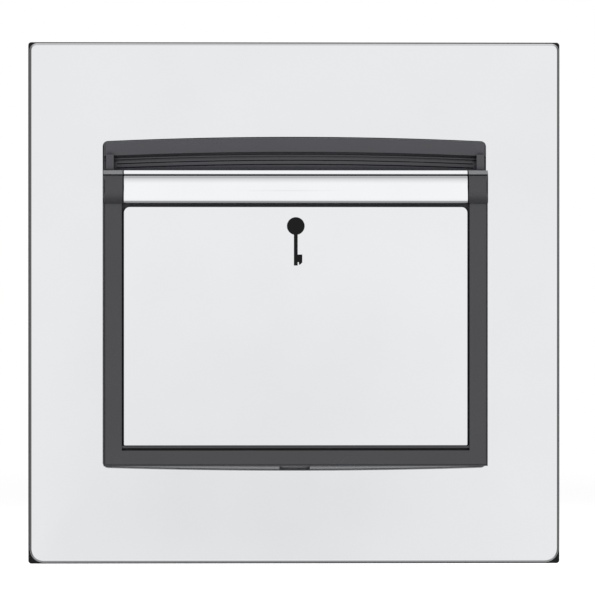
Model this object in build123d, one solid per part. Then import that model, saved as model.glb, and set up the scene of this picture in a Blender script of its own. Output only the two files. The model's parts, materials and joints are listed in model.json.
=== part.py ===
"""Hotel key card switch for a one-gang wall box.

A card dropped into the slot behind the front pocket pushes a lever back. The lever presses a small
snap switch, and a relay on the circuit board then feeds the room. All sizes are in millimetres.
X runs to the right, Y into the wall and Z up. The origin lies on the wall face, midway between the
two fixing screws. A depth is a Y value, so depths in front of the wall are negative.
"""

import os
from math import cos, pi, radians, sin

from build123d import *

# Clearances and cuts that many pieces share
overrun = 1.0  # how far a cut runs past the face that it opens
running_gap = 0.05  # round a pin, plunger or peg in its hole
seat_gap = 0.15  # between two mouldings that are slid together
thread_gap = 0.05  # round a screw in the hole that it holds in

# Screws alike: shares of the head's height, the shank's radius and the head's radius
head_bevel_share = 0.45
tip_share = 0.35
cross_length_share = 1.3
slot_length_share = 3.0
drive_width_share = 0.33

# Front plate, a pressed and chromed tray
plate_width = 87.4
plate_height = 85.7
plate_depth = 4.0
plate_sheet = 1.0
plate_corner_radius = 2.4
plate_edge_radius = 0.5

# Gasket between the plate and the wall
gasket_thickness = 0.8
gasket_overhang = 0.3
gasket_corner_radius = 0.5

# Support frame, the steel sheet that is screwed to the wall box
frame_thickness = 1.2
frame_margin = 1.2
frame_corner_radius = 1.6
frame_window_width = 34.0
frame_window_height = 36.0
frame_window_radius = 2.0
fixing_centres = 60.3
fixing_hole_radius = 1.95
rib_slot_length = 18.0
rib_slot_width = 3.0
rib_slot_inset = 9.0

# Tabs bent up from the frame, and the nylon clips in the plate that grip them
tab_length = 6.0
tab_height = 1.5
tab_spacing_x = 44.0
tab_inset = 5.45  # from the top or bottom of the frame
clip_length = 9.0
clip_width = 4.0
clip_corner_radius = 0.6

# Fixing screws into the wall box
fixing_screw_radius = 1.75
fixing_neck_radius = 1.38  # of the plain neck that passes the frame, as thick as the thread's core
fixing_screw_length = 25.0
fixing_head_radius = 3.3
fixing_head_height = 1.6

# Outline of the black insert where it passes the plate: straight sides, bowed top and bottom
module_width = 63.0
module_top = 27.3
module_bottom = 27.4
top_bow = 0.7
bottom_bow = 0.5
module_corner_radius = 0.6
module_gap = 0.15
plinth_proud = 0.6
plinth_wall = 1.5
plinth_chamfer = 0.35

# Card channel
card_width = 54.0
card_play = 0.5
slot_gap = 2.4
card_stop_depth = 50.9  # from the module's top edge down to the card's stop

# Card guide, the moulding behind the card
guide_proud = 5.2
guide_wall = 1.5
guide_side_wall = 1.4
guide_half_width = 30.0
arch_inset = 0.15
arch_proud = 4.6
arch_height = 2.95
arch_edge_radius = 0.35
arch_band_height = 2.3
arch_groove_height = 0.35
arch_groove_depth = 0.7
arch_rib_step = 0.25
arch_rib_bevel = 0.18
arch_back = 0.55  # from the arch's front to the cove behind it
cove_top_height = 24.4
cove_depth = 1.3
cove_groove_drops = (3.6, 4.27)  # below the top of the arch
cove_groove_end = 0.5  # from the cheeks
cove_groove_height = 0.17
cove_groove_depth = 0.35
hood_wall = 1.5
cheek_inset = 0.5
cheek_thickness = 1.25
cheek_reach = 1.3
lead_in_height = 3.0
lead_in_wall = 0.5  # what the flare leaves of the rails at their top
pry_slot_width = 5.0
pry_slot_depth = 1.2
pry_slot_height = 1.1
driver_well_radius = 2.1
driver_well_wall = 1.1

# Lever and its bearing
lever_pivot_depth = 1.9  # from the back of the guide wall to the pivot
lever_pivot_height = -3.6
lever_width = 7.8
lever_side_gap = 0.2
lever_hub_radius = 1.6
lever_pin_radius = 0.8
lever_swing_degrees = 15.0
lever_arm_front = 1.3
lever_arm_back = 0.6
lever_arm_rise = 5.2
lever_nose_drop = 9.9
lever_nose_reach = 6.2
lever_nose_flat = 1.2
lever_nose_radius = 0.5
lever_nose_foot = 12.0
lever_foot_top = 13.1
lever_foot_drop = 14.2
lever_pad_drop = 2.4
lever_pad_radius = 0.8
lever_pad_width = 3.0
tail_rise = 4.8
tail_depth = 1.7
tail_thickness = 0.9
tail_root_height = 0.6
tail_heel_height = 1.2
ear_thickness = 1.5
ear_radius = 2.2
ear_hole_gap = 0.02
lever_window_width = 8.8
lever_window_top = 4.6
lever_window_bottom = 12.6
nose_relief_depth = 0.7
nose_relief_margin = 1.4

# Torsion spring round the lever's pin
spring_wire_radius = 0.2
spring_coil_radius = 1.45
spring_rest_width = 1.2
spring_coil_length = 2.4
spring_half_turns = 7
spring_front_leg = 5.4
spring_back_leg = 4.4
spring_bay_width = 3.7
spring_bay_gap = 0.45

# Pocket cover, the moulding that makes the front of the card slot
cover_width = 62.8
cover_top = 21.7
cover_bottom = 26.6
cover_front_wall = 2.4
cover_skirt = 1.2
cover_edge_radius = 0.45
cover_lift_off = 0.1
mouth_height = 2.8
mouth_depth = 1.2
fascia_gap = 0.3
ledge_height = 0.4
ledge_drop = 0.2
bottom_groove_height = 0.4
crease_height = 0.45
crease_depth = 0.45
peg_radius = 0.8
peg_length = 3.2
peg_tip_gap = 0.3
peg_upper_height = 14.0
peg_lower_height = 18.0
glide_rib_width = 1.2
glide_rib_height = 0.35
glide_rib_spacing = 26.0
glide_rib_end = 3.0

# Roll along the top of the pocket, in black on the side bars and in chrome between them
roll_height = 4.45
roll_foot = 0.25
roll_bulge = 1.1
roll_crown_share = 0.42
roll_head = 0.8
brow_height = 0.9
brow_depth = 1.35
brow_groove_height = 0.22  # under the brow
brow_groove_depth = 0.6
trim_seat = 0.7
trim_gap = 0.6
trim_end_gap = 0.15

# Fascia, the flat chromed sheet with the pierced key sign
fascia_width = 56.2
fascia_height = 39.0
fascia_sheet = 0.9
fascia_seat = 0.8
fascia_top_radius = 1.0
fascia_bottom_radius = 0.25
fascia_edge_radius = 0.12

# Key sign
key_top = 14.05
key_bow_radius = 1.45
key_length = 7.9
key_stem_width = 0.62
key_bit_reach = 0.75
key_bit_height = 1.65
key_bit_foot = 0.15
key_notch_width = 0.2  # between stem and bit, at the foot
key_notch_height = 0.4
key_bit_chamfer = 0.35
key_corner_radius = 0.08

# Lens behind the key sign and light pipe behind the card
lens_window_width = 4.4
lens_window_height = 10.2
lens_flange = 0.7
lens_flange_thickness = 0.6
lens_recess = 0.2
lens_fit = 0.04
pipe_width = 4.4
pipe_height = 9.8
pipe_flange = 0.8
pipe_flange_thickness = 0.8
pipe_back_radius = 2.0
pipe_length = 8.0

# Rear housing, the box behind the frame
housing_width = 48.0
housing_height = 50.0
housing_depth = 26.0
housing_wall = 1.6
housing_corner_radius = 2.0
tower_inset = 4.0  # from each side of the housing to its screws
tower_radius = 3.0
tower_well_radius = 2.5
tower_seat_depth = 6.0
ledge_rib_width = 1.6
ledge_rib_length = 14.0
back_rib_height = 0.6
back_rib_width = 1.2
back_rib_length = 16.0
back_rib_pitch = 4.0
back_rib_count = 5
back_rib_middle = 8.0

# Screws that hold guide, frame and housing together
housing_screw_radius = 1.15
housing_screw_length = 12.5
housing_head_radius = 2.2
housing_head_height = 1.6
boss_radius = 2.5
boss_reach = 0.7

# Circuit board
board_depth = 6.0
board_thickness = 1.6
board_gap = 0.2
board_notch = 5.6
board_screw_inset = 5.2
board_screw_z = 13.4
board_screw_radius = 0.9
board_screw_length = 6.0
board_head_radius = 1.7
board_head_height = 1.1
board_post_radius = 1.9
lead_radius = 0.3
lead_gap = 0.15
lead_stub = 1.2
lead_spread_share = 0.8

# Parts soldered to the board. Where a place or a size is a share, it is of the board's half width.
relay_length = 28.0
relay_width = 12.5
relay_height = 15.0
relay_z = -3.6
relay_lead_z = -0.6
relay_edge_radius = 0.6
mains_capacitor_share = 0.586
mains_capacitor_width = 6.0
mains_capacitor_height = 12.0
mains_capacitor_x_share = -0.414
mains_capacitor_z = 8.2
smoothing_capacitor_share = 0.18
smoothing_capacitor_height = 11.0
smoothing_capacitor_x_share = 0.297
smoothing_capacitor_z = 8.6
smoothing_groove_depth = 0.35
smoothing_groove_radius = 0.4
varistor_share = 0.18
varistor_thickness = 3.4
varistor_edge_radius = 1.3
varistor_x_share = 0.685
varistor_z = 7.6
fuse_length = 8.4
fuse_width = 4.0
fuse_height = 7.6
fuse_x_share = -0.405
fuse_z = 17.2
resistor_radius = 1.1
resistor_end_radius = 1.3
resistor_length = 6.2
resistor_end_share = 0.22
resistor_pitch = 3.2
resistor_x = 6.0
resistor_z = 17.6
resistor_lead_reach = 1.4
chip_length = 8.6
chip_width = 6.2
chip_height = 3.2
chip_x = -5.5
chip_z = 2.5
chip_legs_a_side = 4
chip_leg_pitch = 2.0
chip_leg_width = 0.5
chip_leg_thickness = 0.25
chip_leg_reach = 1.0
chip_notch_radius = 0.8
led_radius = 1.5
led_rim_radius = 1.9
led_rim_height = 0.8
led_length = 4.4
led_lead_spacing = 2.54

# Snap switch on the board
switch_length = 19.8
switch_width = 6.4
switch_height = 9.6
switch_wall = 0.8
switch_plunger_x = 2.8
switch_left_share = 0.525  # of its length, left of the plunger
plunger_radius = 0.9
plunger_bevel = 0.25
plunger_proud = 1.3
plunger_collar_radius = 1.4
plunger_collar_height = 0.5
blade_pivot_inset = 2.2  # from the left end of the switch
blade_contact_inset = 2.8  # from its right end
blade_thickness = 0.3
blade_width = 3.0
blade_depth = 3.0  # from the front of the switch to the blade
blade_gap = 0.08
blade_roll_radius = 0.3  # of its rolled end, in the fork
contact_bevel = 0.2
contact_radius = 1.0
contact_thickness = 0.5
terminal_sheet = 0.5
terminal_width = 3.0
fork_gap = 0.06
fork_depth = 0.7
fork_wall = 0.6

# Mains terminals
terminal_count = 3
terminal_pitch = 11.0
block_width = 33.2
block_height = 12.0
block_gap = 0.1
cage_width = 7.0
cage_depth = 7.0
cage_height = 7.4
cage_wall = 1.0
cage_gap = 0.2
cage_to_board = 2.3
cage_middle = 6.5  # from the bottom of the housing up to the clamp screw
cage_collar_radius = 2.7
cage_collar_height = 0.5
cage_tail_width = 1.2
cage_tail_thickness = 0.8
wire_entry_width = 5.0
wire_entry_depth = 5.0
terminal_screw_radius = 1.7
terminal_screw_length = 6.0
terminal_head_radius = 2.7
terminal_head_height = 2.0
terminal_well_radius = 3.1

# Earth terminal on the frame
earth_block_width = 7.0
earth_block_depth = 7.0
earth_block_height = 6.5
earth_block_inset = 15.0  # from the side of the frame
earth_block_drop = 8.65  # from the top of the frame
earth_block_stand_off = 1.2
earth_wire_radius = 1.8
earth_screw_radius = 1.5
earth_screw_length = 2.6
earth_head_radius = 2.4
earth_head_height = 1.8
earth_screw_drop = 2.6
earth_tab_length = 9.4
earth_edge_radius = 0.4

# Depths worked out from the sizes above
frame_front = -frame_thickness
plate_face = -plate_depth
plate_inner = plate_face + plate_sheet
plinth_front = plate_face - plinth_proud
guide_face = plate_face - guide_proud
guide_back = guide_face + guide_wall
cover_inner = guide_face - slot_gap
cover_front = cover_inner - cover_front_wall
cover_back = plinth_front - cover_lift_off
board_back = board_depth + board_thickness
housing_back = housing_depth
housing_inner_back = housing_back - housing_wall

# Widths and places worked out from the sizes above
frame_width = plate_width - 2 * (plate_sheet + frame_margin)
frame_height = plate_height - 2 * (plate_sheet + frame_margin)
tab_spacing_z = frame_height - 2 * tab_inset
earth_block_x = earth_block_inset - frame_width / 2
earth_block_top = frame_height / 2 - earth_block_drop
tower_spacing_x = housing_width - 2 * tower_inset
tower_spacing_z = housing_height - 2 * tower_inset
board_screw_spacing = housing_width - 2 * board_screw_inset
board_half_width = housing_width / 2 - housing_wall - board_gap
board_half_height = housing_height / 2 - housing_wall - board_gap
mains_capacitor_length = board_half_width * mains_capacitor_share
mains_capacitor_x = board_half_width * mains_capacitor_x_share
smoothing_capacitor_radius = board_half_width * smoothing_capacitor_share
smoothing_capacitor_x = board_half_width * smoothing_capacitor_x_share
varistor_radius = board_half_width * varistor_share
varistor_x = board_half_width * varistor_x_share
fuse_x = board_half_width * fuse_x_share

# Heights and half widths worked out from the sizes above
card_stop_height = module_top - card_stop_depth
guide_foot = -cover_bottom + cover_skirt + seat_gap
hood_foot = cover_top + seat_gap
cheek_top = module_top - arch_height
guide_inner_half = guide_half_width - guide_side_wall
channel_half = card_width / 2 + card_play
cover_half = cover_width / 2
glide_rib_top = cover_top - mouth_height - glide_rib_end
cover_inner_half = cover_half - cover_skirt
roll_foot_height = cover_top - brow_height - roll_height
roll_top_height = cover_top - brow_height
fascia_top = roll_foot_height - trim_gap
fascia_foot = fascia_top - fascia_height
peg_x = (channel_half + guide_half_width) / 2
lever_pivot_y = guide_back + lever_pivot_depth
lever_pivot_z = lever_pivot_height
switch_front = board_depth - switch_height
switch_z = lever_pivot_z - lever_pad_drop
switch_left = switch_plunger_x - switch_length * switch_left_share
switch_right = switch_left + switch_length
blade_y = switch_front + blade_depth
blade_pivot_x = switch_left + blade_pivot_inset
blade_contact_x = switch_right - blade_contact_inset
blade_pivot_to_plunger = switch_plunger_x - blade_pivot_x
blade_length = blade_contact_x - blade_pivot_x
plunger_travel = lever_pad_drop * radians(lever_swing_degrees)
contact_travel = plunger_travel * blade_length / blade_pivot_to_plunger
key_middle = key_top - key_length / 2
block_bottom = -housing_height / 2
block_top = block_bottom + block_height
cage_z = block_bottom + cage_middle
cage_front = board_back + cage_to_board
cage_back = cage_front + cage_depth


def depth_plane(depth):
    """The plane at that depth, seen from the room: its own X is X and its own Y is Z."""
    return Plane(origin=(0, depth, 0), x_dir=(1, 0, 0), z_dir=(0, -1, 0))


def slab(outline, back, front):
    """An outline in X and Z, made solid from one depth to another."""
    return extrude(depth_plane(back) * outline, amount=back - front)


def bar(profile, left, right):
    """A profile in Y and Z, made solid from one X to another."""
    side = Plane(origin=(left, 0, 0), x_dir=(0, 1, 0), z_dir=(1, 0, 0))
    return extrude(side * profile, amount=right - left)


def block(low, high):
    """A straight-sided block between two opposite corners."""
    size = [b - a for a, b in zip(low, high)]
    middle = [(a + b) / 2 for a, b in zip(low, high)]
    return Pos(*middle) * Box(*size)


def pin(x, z, back, front, radius):
    """A round pin along Y."""
    return slab(Pos(x, z) * Circle(radius), back, front)


def cross_pin(y, z, left, right, radius):
    """A round pin along X."""
    return bar(Pos(y, z) * Circle(radius), left, right)


def outline_of(*lines):
    """A face inside lines and arcs that follow one another."""
    return make_face(Curve() + list(lines))


def barrel(margin):
    """The insert's outline, grown by a margin: straight sides, with a bowed top and bottom."""
    half = module_width / 2 + margin
    top, foot = module_top + margin, -module_bottom - margin
    shape = outline_of(
        ThreePointArc((-half, top - top_bow), (0, top), (half, top - top_bow)),
        Line((half, top - top_bow), (half, foot + bottom_bow)),
        ThreePointArc((half, foot + bottom_bow), (0, foot), (-half, foot + bottom_bow)),
        Line((-half, foot + bottom_bow), (-half, top - top_bow)),
    )
    return fillet(shape.vertices(), module_corner_radius)


def mirrored(solid):
    """A solid and its mirror image across the middle."""
    return solid + mirror(solid, about=Plane.YZ)


def four_places(spacing_x, spacing_z):
    """The corners of a rectangle round the origin."""
    return [(sx * spacing_x / 2, sz * spacing_z / 2) for sx in (-1, 1) for sz in (-1, 1)]


def screw(place, head_radius, head_height, shank_radius, shank_length, crossed=True):
    """A screw with a bevelled head. The place's own Z points out of the head, from its seat."""
    head = Cylinder(head_radius, head_height, align=(Align.CENTER, Align.CENTER, Align.MIN))
    head = chamfer(head.edges().group_by(Axis.Z)[-1], head_height * head_bevel_share)
    shank = Cylinder(shank_radius, shank_length, align=(Align.CENTER, Align.CENTER, Align.MAX))
    shank = chamfer(shank.edges().group_by(Axis.Z)[0], shank_radius * tip_share)
    reach = cross_length_share if crossed else slot_length_share
    drive = Box(head_radius * reach, head_radius * drive_width_share, head_height)
    if crossed:
        drive += Rot(0, 0, 90) * drive
    drive = Pos(0, 0, head_height) * drive
    return Plane(origin=place.origin, z_dir=place.z_dir) * (head + shank - drive)


def front_plate():
    """A tray of thin sheet, open at the back, with the opening that the insert fills."""
    outer = RectangleRounded(plate_width, plate_height, plate_corner_radius)
    tray = slab(outer, -gasket_thickness, plate_face)
    tray = fillet(tray.edges().group_by(Axis.Y)[0], plate_edge_radius)
    inner = RectangleRounded(
        plate_width - 2 * plate_sheet, plate_height - 2 * plate_sheet, plate_corner_radius - plate_sheet
    )
    tray -= slab(inner, 0, plate_inner)
    return tray - slab(barrel(module_gap), 0, plate_face - overrun)


def tab_outline(margin):
    return Rectangle(tab_length + 2 * margin, frame_thickness + 2 * margin)


def plate_clips():
    """Four nylon blocks inside the plate, each slotted for a tab of the frame."""
    body = RectangleRounded(clip_length, clip_width, clip_corner_radius) - tab_outline(seat_gap)
    clip = slab(body, frame_front - seat_gap, plate_inner)
    return [Pos(x, 0, z) * clip for x, z in four_places(tab_spacing_x, tab_spacing_z)]


def wall_gasket():
    """A flat ring that stands out a little past the plate all round."""
    outer = RectangleRounded(
        plate_width + 2 * gasket_overhang, plate_height + 2 * gasket_overhang, gasket_corner_radius
    )
    inner = RectangleRounded(
        frame_width + 2 * seat_gap, frame_height + 2 * seat_gap, frame_corner_radius
    )
    return slab(outer - inner, 0, -gasket_thickness)


def support_frame():
    """Steel sheet with the window for the works, the two fixing holes and four tabs for the clips."""
    sheet = RectangleRounded(frame_width, frame_height, frame_corner_radius)
    sheet -= RectangleRounded(frame_window_width, frame_window_height, frame_window_radius)
    for side in (-1, 1):
        sheet -= Pos(side * fixing_centres / 2, 0) * Circle(fixing_hole_radius)
        slot_z = side * (frame_height / 2 - rib_slot_inset)
        sheet -= Pos(0, slot_z) * SlotOverall(rib_slot_length, rib_slot_width)
    for x, z in four_places(tower_spacing_x, tower_spacing_z):
        sheet -= Pos(x, z) * Circle(housing_screw_radius + seat_gap)
    tabs = Part()
    for x, z in four_places(tab_spacing_x, tab_spacing_z):
        inwards = -1 if z > 0 else 1
        cut_z = z + inwards * (frame_thickness + tab_height) / 2
        sheet -= Pos(x, cut_z) * Rectangle(tab_length, tab_height)
        tabs += slab(Pos(x, z) * tab_outline(0), frame_front, frame_front - tab_height)
    left = earth_block_x - earth_block_width / 2
    earth_tab = block(
        (left, frame_front, earth_block_top),
        (left + earth_block_width, earth_tab_length, earth_block_top + frame_thickness),
    )
    return slab(sheet, 0, frame_front) + tabs + earth_tab


def fixing_screws():
    """The two machine screws into the wall box. Each has a neck between its head and its thread."""
    sizes = (fixing_head_radius, fixing_head_height, fixing_screw_radius, fixing_screw_length)
    screws = []
    for side in (-1, 1):
        x = side * fixing_centres / 2
        place = Plane(origin=(x, frame_front, 0), z_dir=(0, -1, 0))
        neck = pin(x, 0, 0, frame_front, fixing_neck_radius)
        undercut = pin(x, 0, 0, frame_front, fixing_hole_radius) - neck
        screws.append(screw(place, *sizes) - undercut)
    return screws


def cove_profile():
    """The roof behind the arch, hollowed in front to lead the card in, in Y and Z."""
    cove_back = plate_face - arch_proud + arch_back
    inner_front = guide_back + cove_depth
    top = module_top + overrun
    middle = (cove_top_height + hood_foot) / 2
    return outline_of(
        Polyline(
            (guide_face, hood_foot), (inner_front, hood_foot), (inner_front, module_top - hood_wall),
            (frame_front, module_top - hood_wall), (frame_front, top), (cove_back, top),
            (cove_back, cove_top_height),
        ),
        ThreePointArc((cove_back, cove_top_height), (cove_back, middle), (guide_face, hood_foot)),
    )


def bowed_band(top_drop, foot_drop):
    """A strip between two curves that follow the insert's bowed top, that far below it."""
    half = module_width / 2
    top, foot = module_top - arch_inset - top_drop, module_top - arch_inset - foot_drop
    return outline_of(
        ThreePointArc((-half, top - top_bow), (0, top), (half, top - top_bow)),
        Line((half, top - top_bow), (half, foot - top_bow)),
        ThreePointArc((half, foot - top_bow), (0, foot), (-half, foot - top_bow)),
        Line((-half, foot - top_bow), (-half, top - top_bow)),
    )


def hood():
    """The grooved cove with the bowed arch in front of it, which ends in a groove and a bevelled rib."""
    front = plate_face - arch_proud
    half = module_width / 2 - arch_inset
    outline = barrel(-arch_inset)
    arch = slab(bowed_band(-overrun, arch_height) & outline, guide_back + cove_depth, front)
    crest = arch.edges().filter_by_position(Axis.Y, front, front).filter_by(
        lambda edge: edge.center().Z > module_top - arch_height + arch_inset
    )
    arch = fillet(crest, arch_edge_radius)
    groove_foot = arch_band_height + arch_groove_height
    arch -= slab(bowed_band(arch_band_height, groove_foot), front + arch_groove_depth, front - overrun)
    arch -= slab(bowed_band(arch_band_height, arch_height + overrun), front + arch_rib_step, front - overrun)
    rib = arch.edges().filter_by_position(Axis.Y, front + arch_rib_step, front + arch_rib_step)
    arch = chamfer(rib.filter_by(GeomType.LINE, reverse=True).group_by(Axis.Z)[-1], arch_rib_bevel)
    cove = bar(cove_profile(), -half, half) & slab(outline, frame_front, front - overrun)
    reach = module_width / 2 - cheek_inset - cheek_thickness - cove_groove_end
    floor = front + arch_back + cove_groove_depth
    between = block((-reach, front - overrun, hood_foot), (reach, floor, module_top))
    for drop in cove_groove_drops:
        cove -= slab(bowed_band(drop, drop + cove_groove_height), floor, front - overrun) & between
    return arch + cove


def lever_bearing():
    """Two ears behind the guide wall, which carry the lever's pin."""
    ear = Pos(lever_pivot_y, lever_pivot_z) * Circle(ear_radius)
    foot = Pos((guide_back + lever_pivot_y) / 2, lever_pivot_z) * Rectangle(lever_pivot_depth, 2 * ear_radius)
    start = lever_width / 2 + lever_side_gap
    return mirrored(bar(ear + foot, start, start + ear_thickness))


def card_guide():
    """The fixed moulding: plinth, box, arch, card channel and the bearings behind it."""
    plinth = slab(barrel(0), frame_front, plinth_front)
    plinth = chamfer(plinth.edges().group_by(Axis.Y)[0], plinth_chamfer)
    plinth -= slab(barrel(-plinth_wall), 0, plinth_front - overrun)
    shell = block((-guide_half_width, guide_face, guide_foot), (guide_half_width, frame_front, hood_foot))
    flare = guide_half_width - lead_in_wall
    rails = outline_of(Polyline(
        (-guide_half_width, hood_foot), (-guide_half_width, guide_foot), (guide_half_width, guide_foot),
        (guide_half_width, hood_foot), (flare, hood_foot), (channel_half, hood_foot - lead_in_height),
        (channel_half, card_stop_height), (-channel_half, card_stop_height),
        (-channel_half, hood_foot - lead_in_height), (-flare, hood_foot), close=True,
    ))
    shell += slab(rails, guide_face, cover_inner + cover_lift_off)
    cheek_out = module_width / 2 - cheek_inset
    cheek = block(
        (cheek_out - cheek_thickness, guide_face - cheek_reach, hood_foot),
        (cheek_out, frame_front, cheek_top),
    )
    solid = plinth + shell + hood() + mirrored(cheek)
    solid -= block(
        (-guide_inner_half, guide_back, guide_foot + guide_side_wall), (guide_inner_half, 0, hood_foot)
    )
    hollow = block(
        (-guide_inner_half, guide_back + cove_depth, hood_foot - guide_wall),
        (guide_inner_half, 0, module_top - top_bow - hood_wall),
    )
    solid -= hollow
    solid += lever_bearing()
    for x, z in four_places(tower_spacing_x, tower_spacing_z):
        solid += pin(x, z, frame_front, guide_back - seat_gap, boss_radius)
        solid -= pin(x, z, 0, guide_back + boss_reach, housing_screw_radius + thread_gap)
    for side in (-1, 1):
        x = side * fixing_centres / 2
        well = pin(x, 0, frame_front, guide_back, driver_well_radius + driver_well_wall)
        room = block(
            (-guide_half_width, guide_face, guide_foot), (guide_half_width, frame_front, hood_foot)
        )
        solid += well & room
        solid -= pin(x, 0, 0, cover_inner - overrun, driver_well_radius)
        solid -= pin(x, 0, 0, frame_front - fixing_head_height - seat_gap, fixing_head_radius + seat_gap)
        for z in (peg_upper_height, -peg_lower_height):
            tip = cover_inner + peg_length + peg_tip_gap
            solid -= pin(side * peg_x, z, tip, cover_inner - overrun, peg_radius + running_gap)
    rest_x = spring_coil_length / 2
    rest_y = lever_pivot_y - spring_coil_radius - spring_wire_radius - running_gap
    solid += block(
        (rest_x - spring_rest_width / 2, guide_back - seat_gap, lever_pivot_z + lever_hub_radius),
        (rest_x + spring_rest_width / 2, rest_y, lever_pivot_z + spring_front_leg),
    )
    solid -= cross_pin(
        lever_pivot_y, lever_pivot_z, -guide_inner_half, guide_inner_half, lever_pin_radius + ear_hole_gap
    )
    solid -= block(
        (-lever_window_width / 2, guide_face - overrun, lever_pivot_z - lever_window_bottom),
        (lever_window_width / 2, guide_back + ear_radius / 2, lever_pivot_z - lever_window_top),
    )
    solid -= slab(
        Pos(0, key_middle) * Rectangle(pipe_width + 2 * running_gap, pipe_height + 2 * running_gap),
        guide_back + overrun, guide_face - overrun,
    )
    solid -= block(
        (-pry_slot_width / 2, plinth_front - overrun, -module_bottom - overrun),
        (pry_slot_width / 2, plinth_front + pry_slot_depth, -module_bottom + pry_slot_height),
    )
    return solid


def lever_pin():
    reach = lever_width / 2 + lever_side_gap + ear_thickness
    return cross_pin(lever_pivot_y, lever_pivot_z, -reach, reach, lever_pin_radius)


def card_lever():
    """The lever: a nose in the card's way, a foot that stops on the guide, a pad and a spring tail."""
    y, z = lever_pivot_y, lever_pivot_z
    hub = Pos(y, z) * Circle(lever_hub_radius)
    tip_y = y - lever_nose_reach
    tip_z = z - lever_nose_drop
    front, back = y - lever_arm_front, y + lever_arm_back
    stop = guide_back + running_gap
    arm = outline_of(Polyline(
        (front, z), (front, z - lever_arm_rise), (tip_y, tip_z + lever_nose_flat / 2),
        (tip_y, tip_z - lever_nose_flat / 2), (front, z - lever_nose_foot), (front, z - lever_foot_top),
        (stop, z - lever_foot_top), (stop, z - lever_foot_drop), (back, z - lever_foot_drop), (back, z),
        close=True,
    ))
    nose = arm.vertices().sort_by(Axis.X)[:2]
    arm = fillet(nose, lever_nose_radius)
    tail = outline_of(Polyline(
        (y, z + tail_root_height), (y + tail_depth, z + tail_heel_height), (y + tail_depth, z + tail_rise),
        (y + tail_depth + tail_thickness, z + tail_rise),
        (y + tail_depth + tail_thickness, z + tail_heel_height),
        (y + tail_root_height, z), close=True,
    ))
    lever = bar(hub + arm + tail, -lever_width / 2, lever_width / 2)
    pad_y = switch_front - plunger_proud - running_gap - lever_pad_radius
    pad = Pos(pad_y, z - lever_pad_drop) * Circle(lever_pad_radius)
    lever += bar(pad, switch_plunger_x - lever_pad_width / 2, lever_width / 2)
    bay = spring_coil_radius + spring_wire_radius + spring_bay_gap
    lever -= cross_pin(y, z, -spring_bay_width / 2, spring_bay_width / 2, bay)
    return lever - cross_pin(y, z, -lever_width, lever_width, lever_pin_radius + running_gap)


def lever_spring():
    """Round wire: a leg against the guide wall, the turns round the pin, and a leg against the tail."""
    radius = spring_coil_radius
    pitch_per_radian = spring_coil_length / (spring_half_turns * pi)
    start_x = spring_coil_length / 2

    def on_coil(half_turns):
        angle = pi + half_turns * pi
        return Vector(
            start_x - half_turns * pi * pitch_per_radian,
            lever_pivot_y + radius * cos(angle),
            lever_pivot_z + radius * sin(angle),
        )

    slope = pitch_per_radian / radius
    first, last = on_coil(0), on_coil(spring_half_turns)
    leg_top = first + Vector(spring_front_leg * slope, 0, spring_front_leg)
    leg_end = last + Vector(-spring_back_leg * slope, 0, spring_back_leg)
    turns = [
        ThreePointArc(on_coil(n / 2), on_coil(n / 2 + 1 / 4), on_coil((n + 1) / 2))
        for n in range(2 * spring_half_turns)
    ]
    path = Wire([Line(leg_top, first), *turns, Line(last, leg_end)])
    section = Plane(origin=leg_top, z_dir=first - leg_top) * Circle(spring_wire_radius)
    return sweep(section, path=path)


def front_profile(set_back):
    """The pocket's front in Y and Z: rolled lip, groove and brow, all set back by an amount."""
    face = cover_front + set_back
    low, high = roll_foot_height, roll_top_height
    crown = low + roll_height * roll_crown_share
    return [
        Line((face, low), (face - roll_foot, low)),
        ThreePointArc((face - roll_foot, low), (face - roll_bulge, crown), (face - roll_head, high)),
        Polyline(
            (face - roll_head, high), (face - roll_head + brow_groove_depth, high),
            (face - roll_head + brow_groove_depth, high + brow_groove_height),
            (face - roll_head + brow_depth * brow_groove_height / brow_height, high + brow_groove_height),
            (face - roll_head + brow_depth, cover_top),
        ),
    ]


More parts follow.
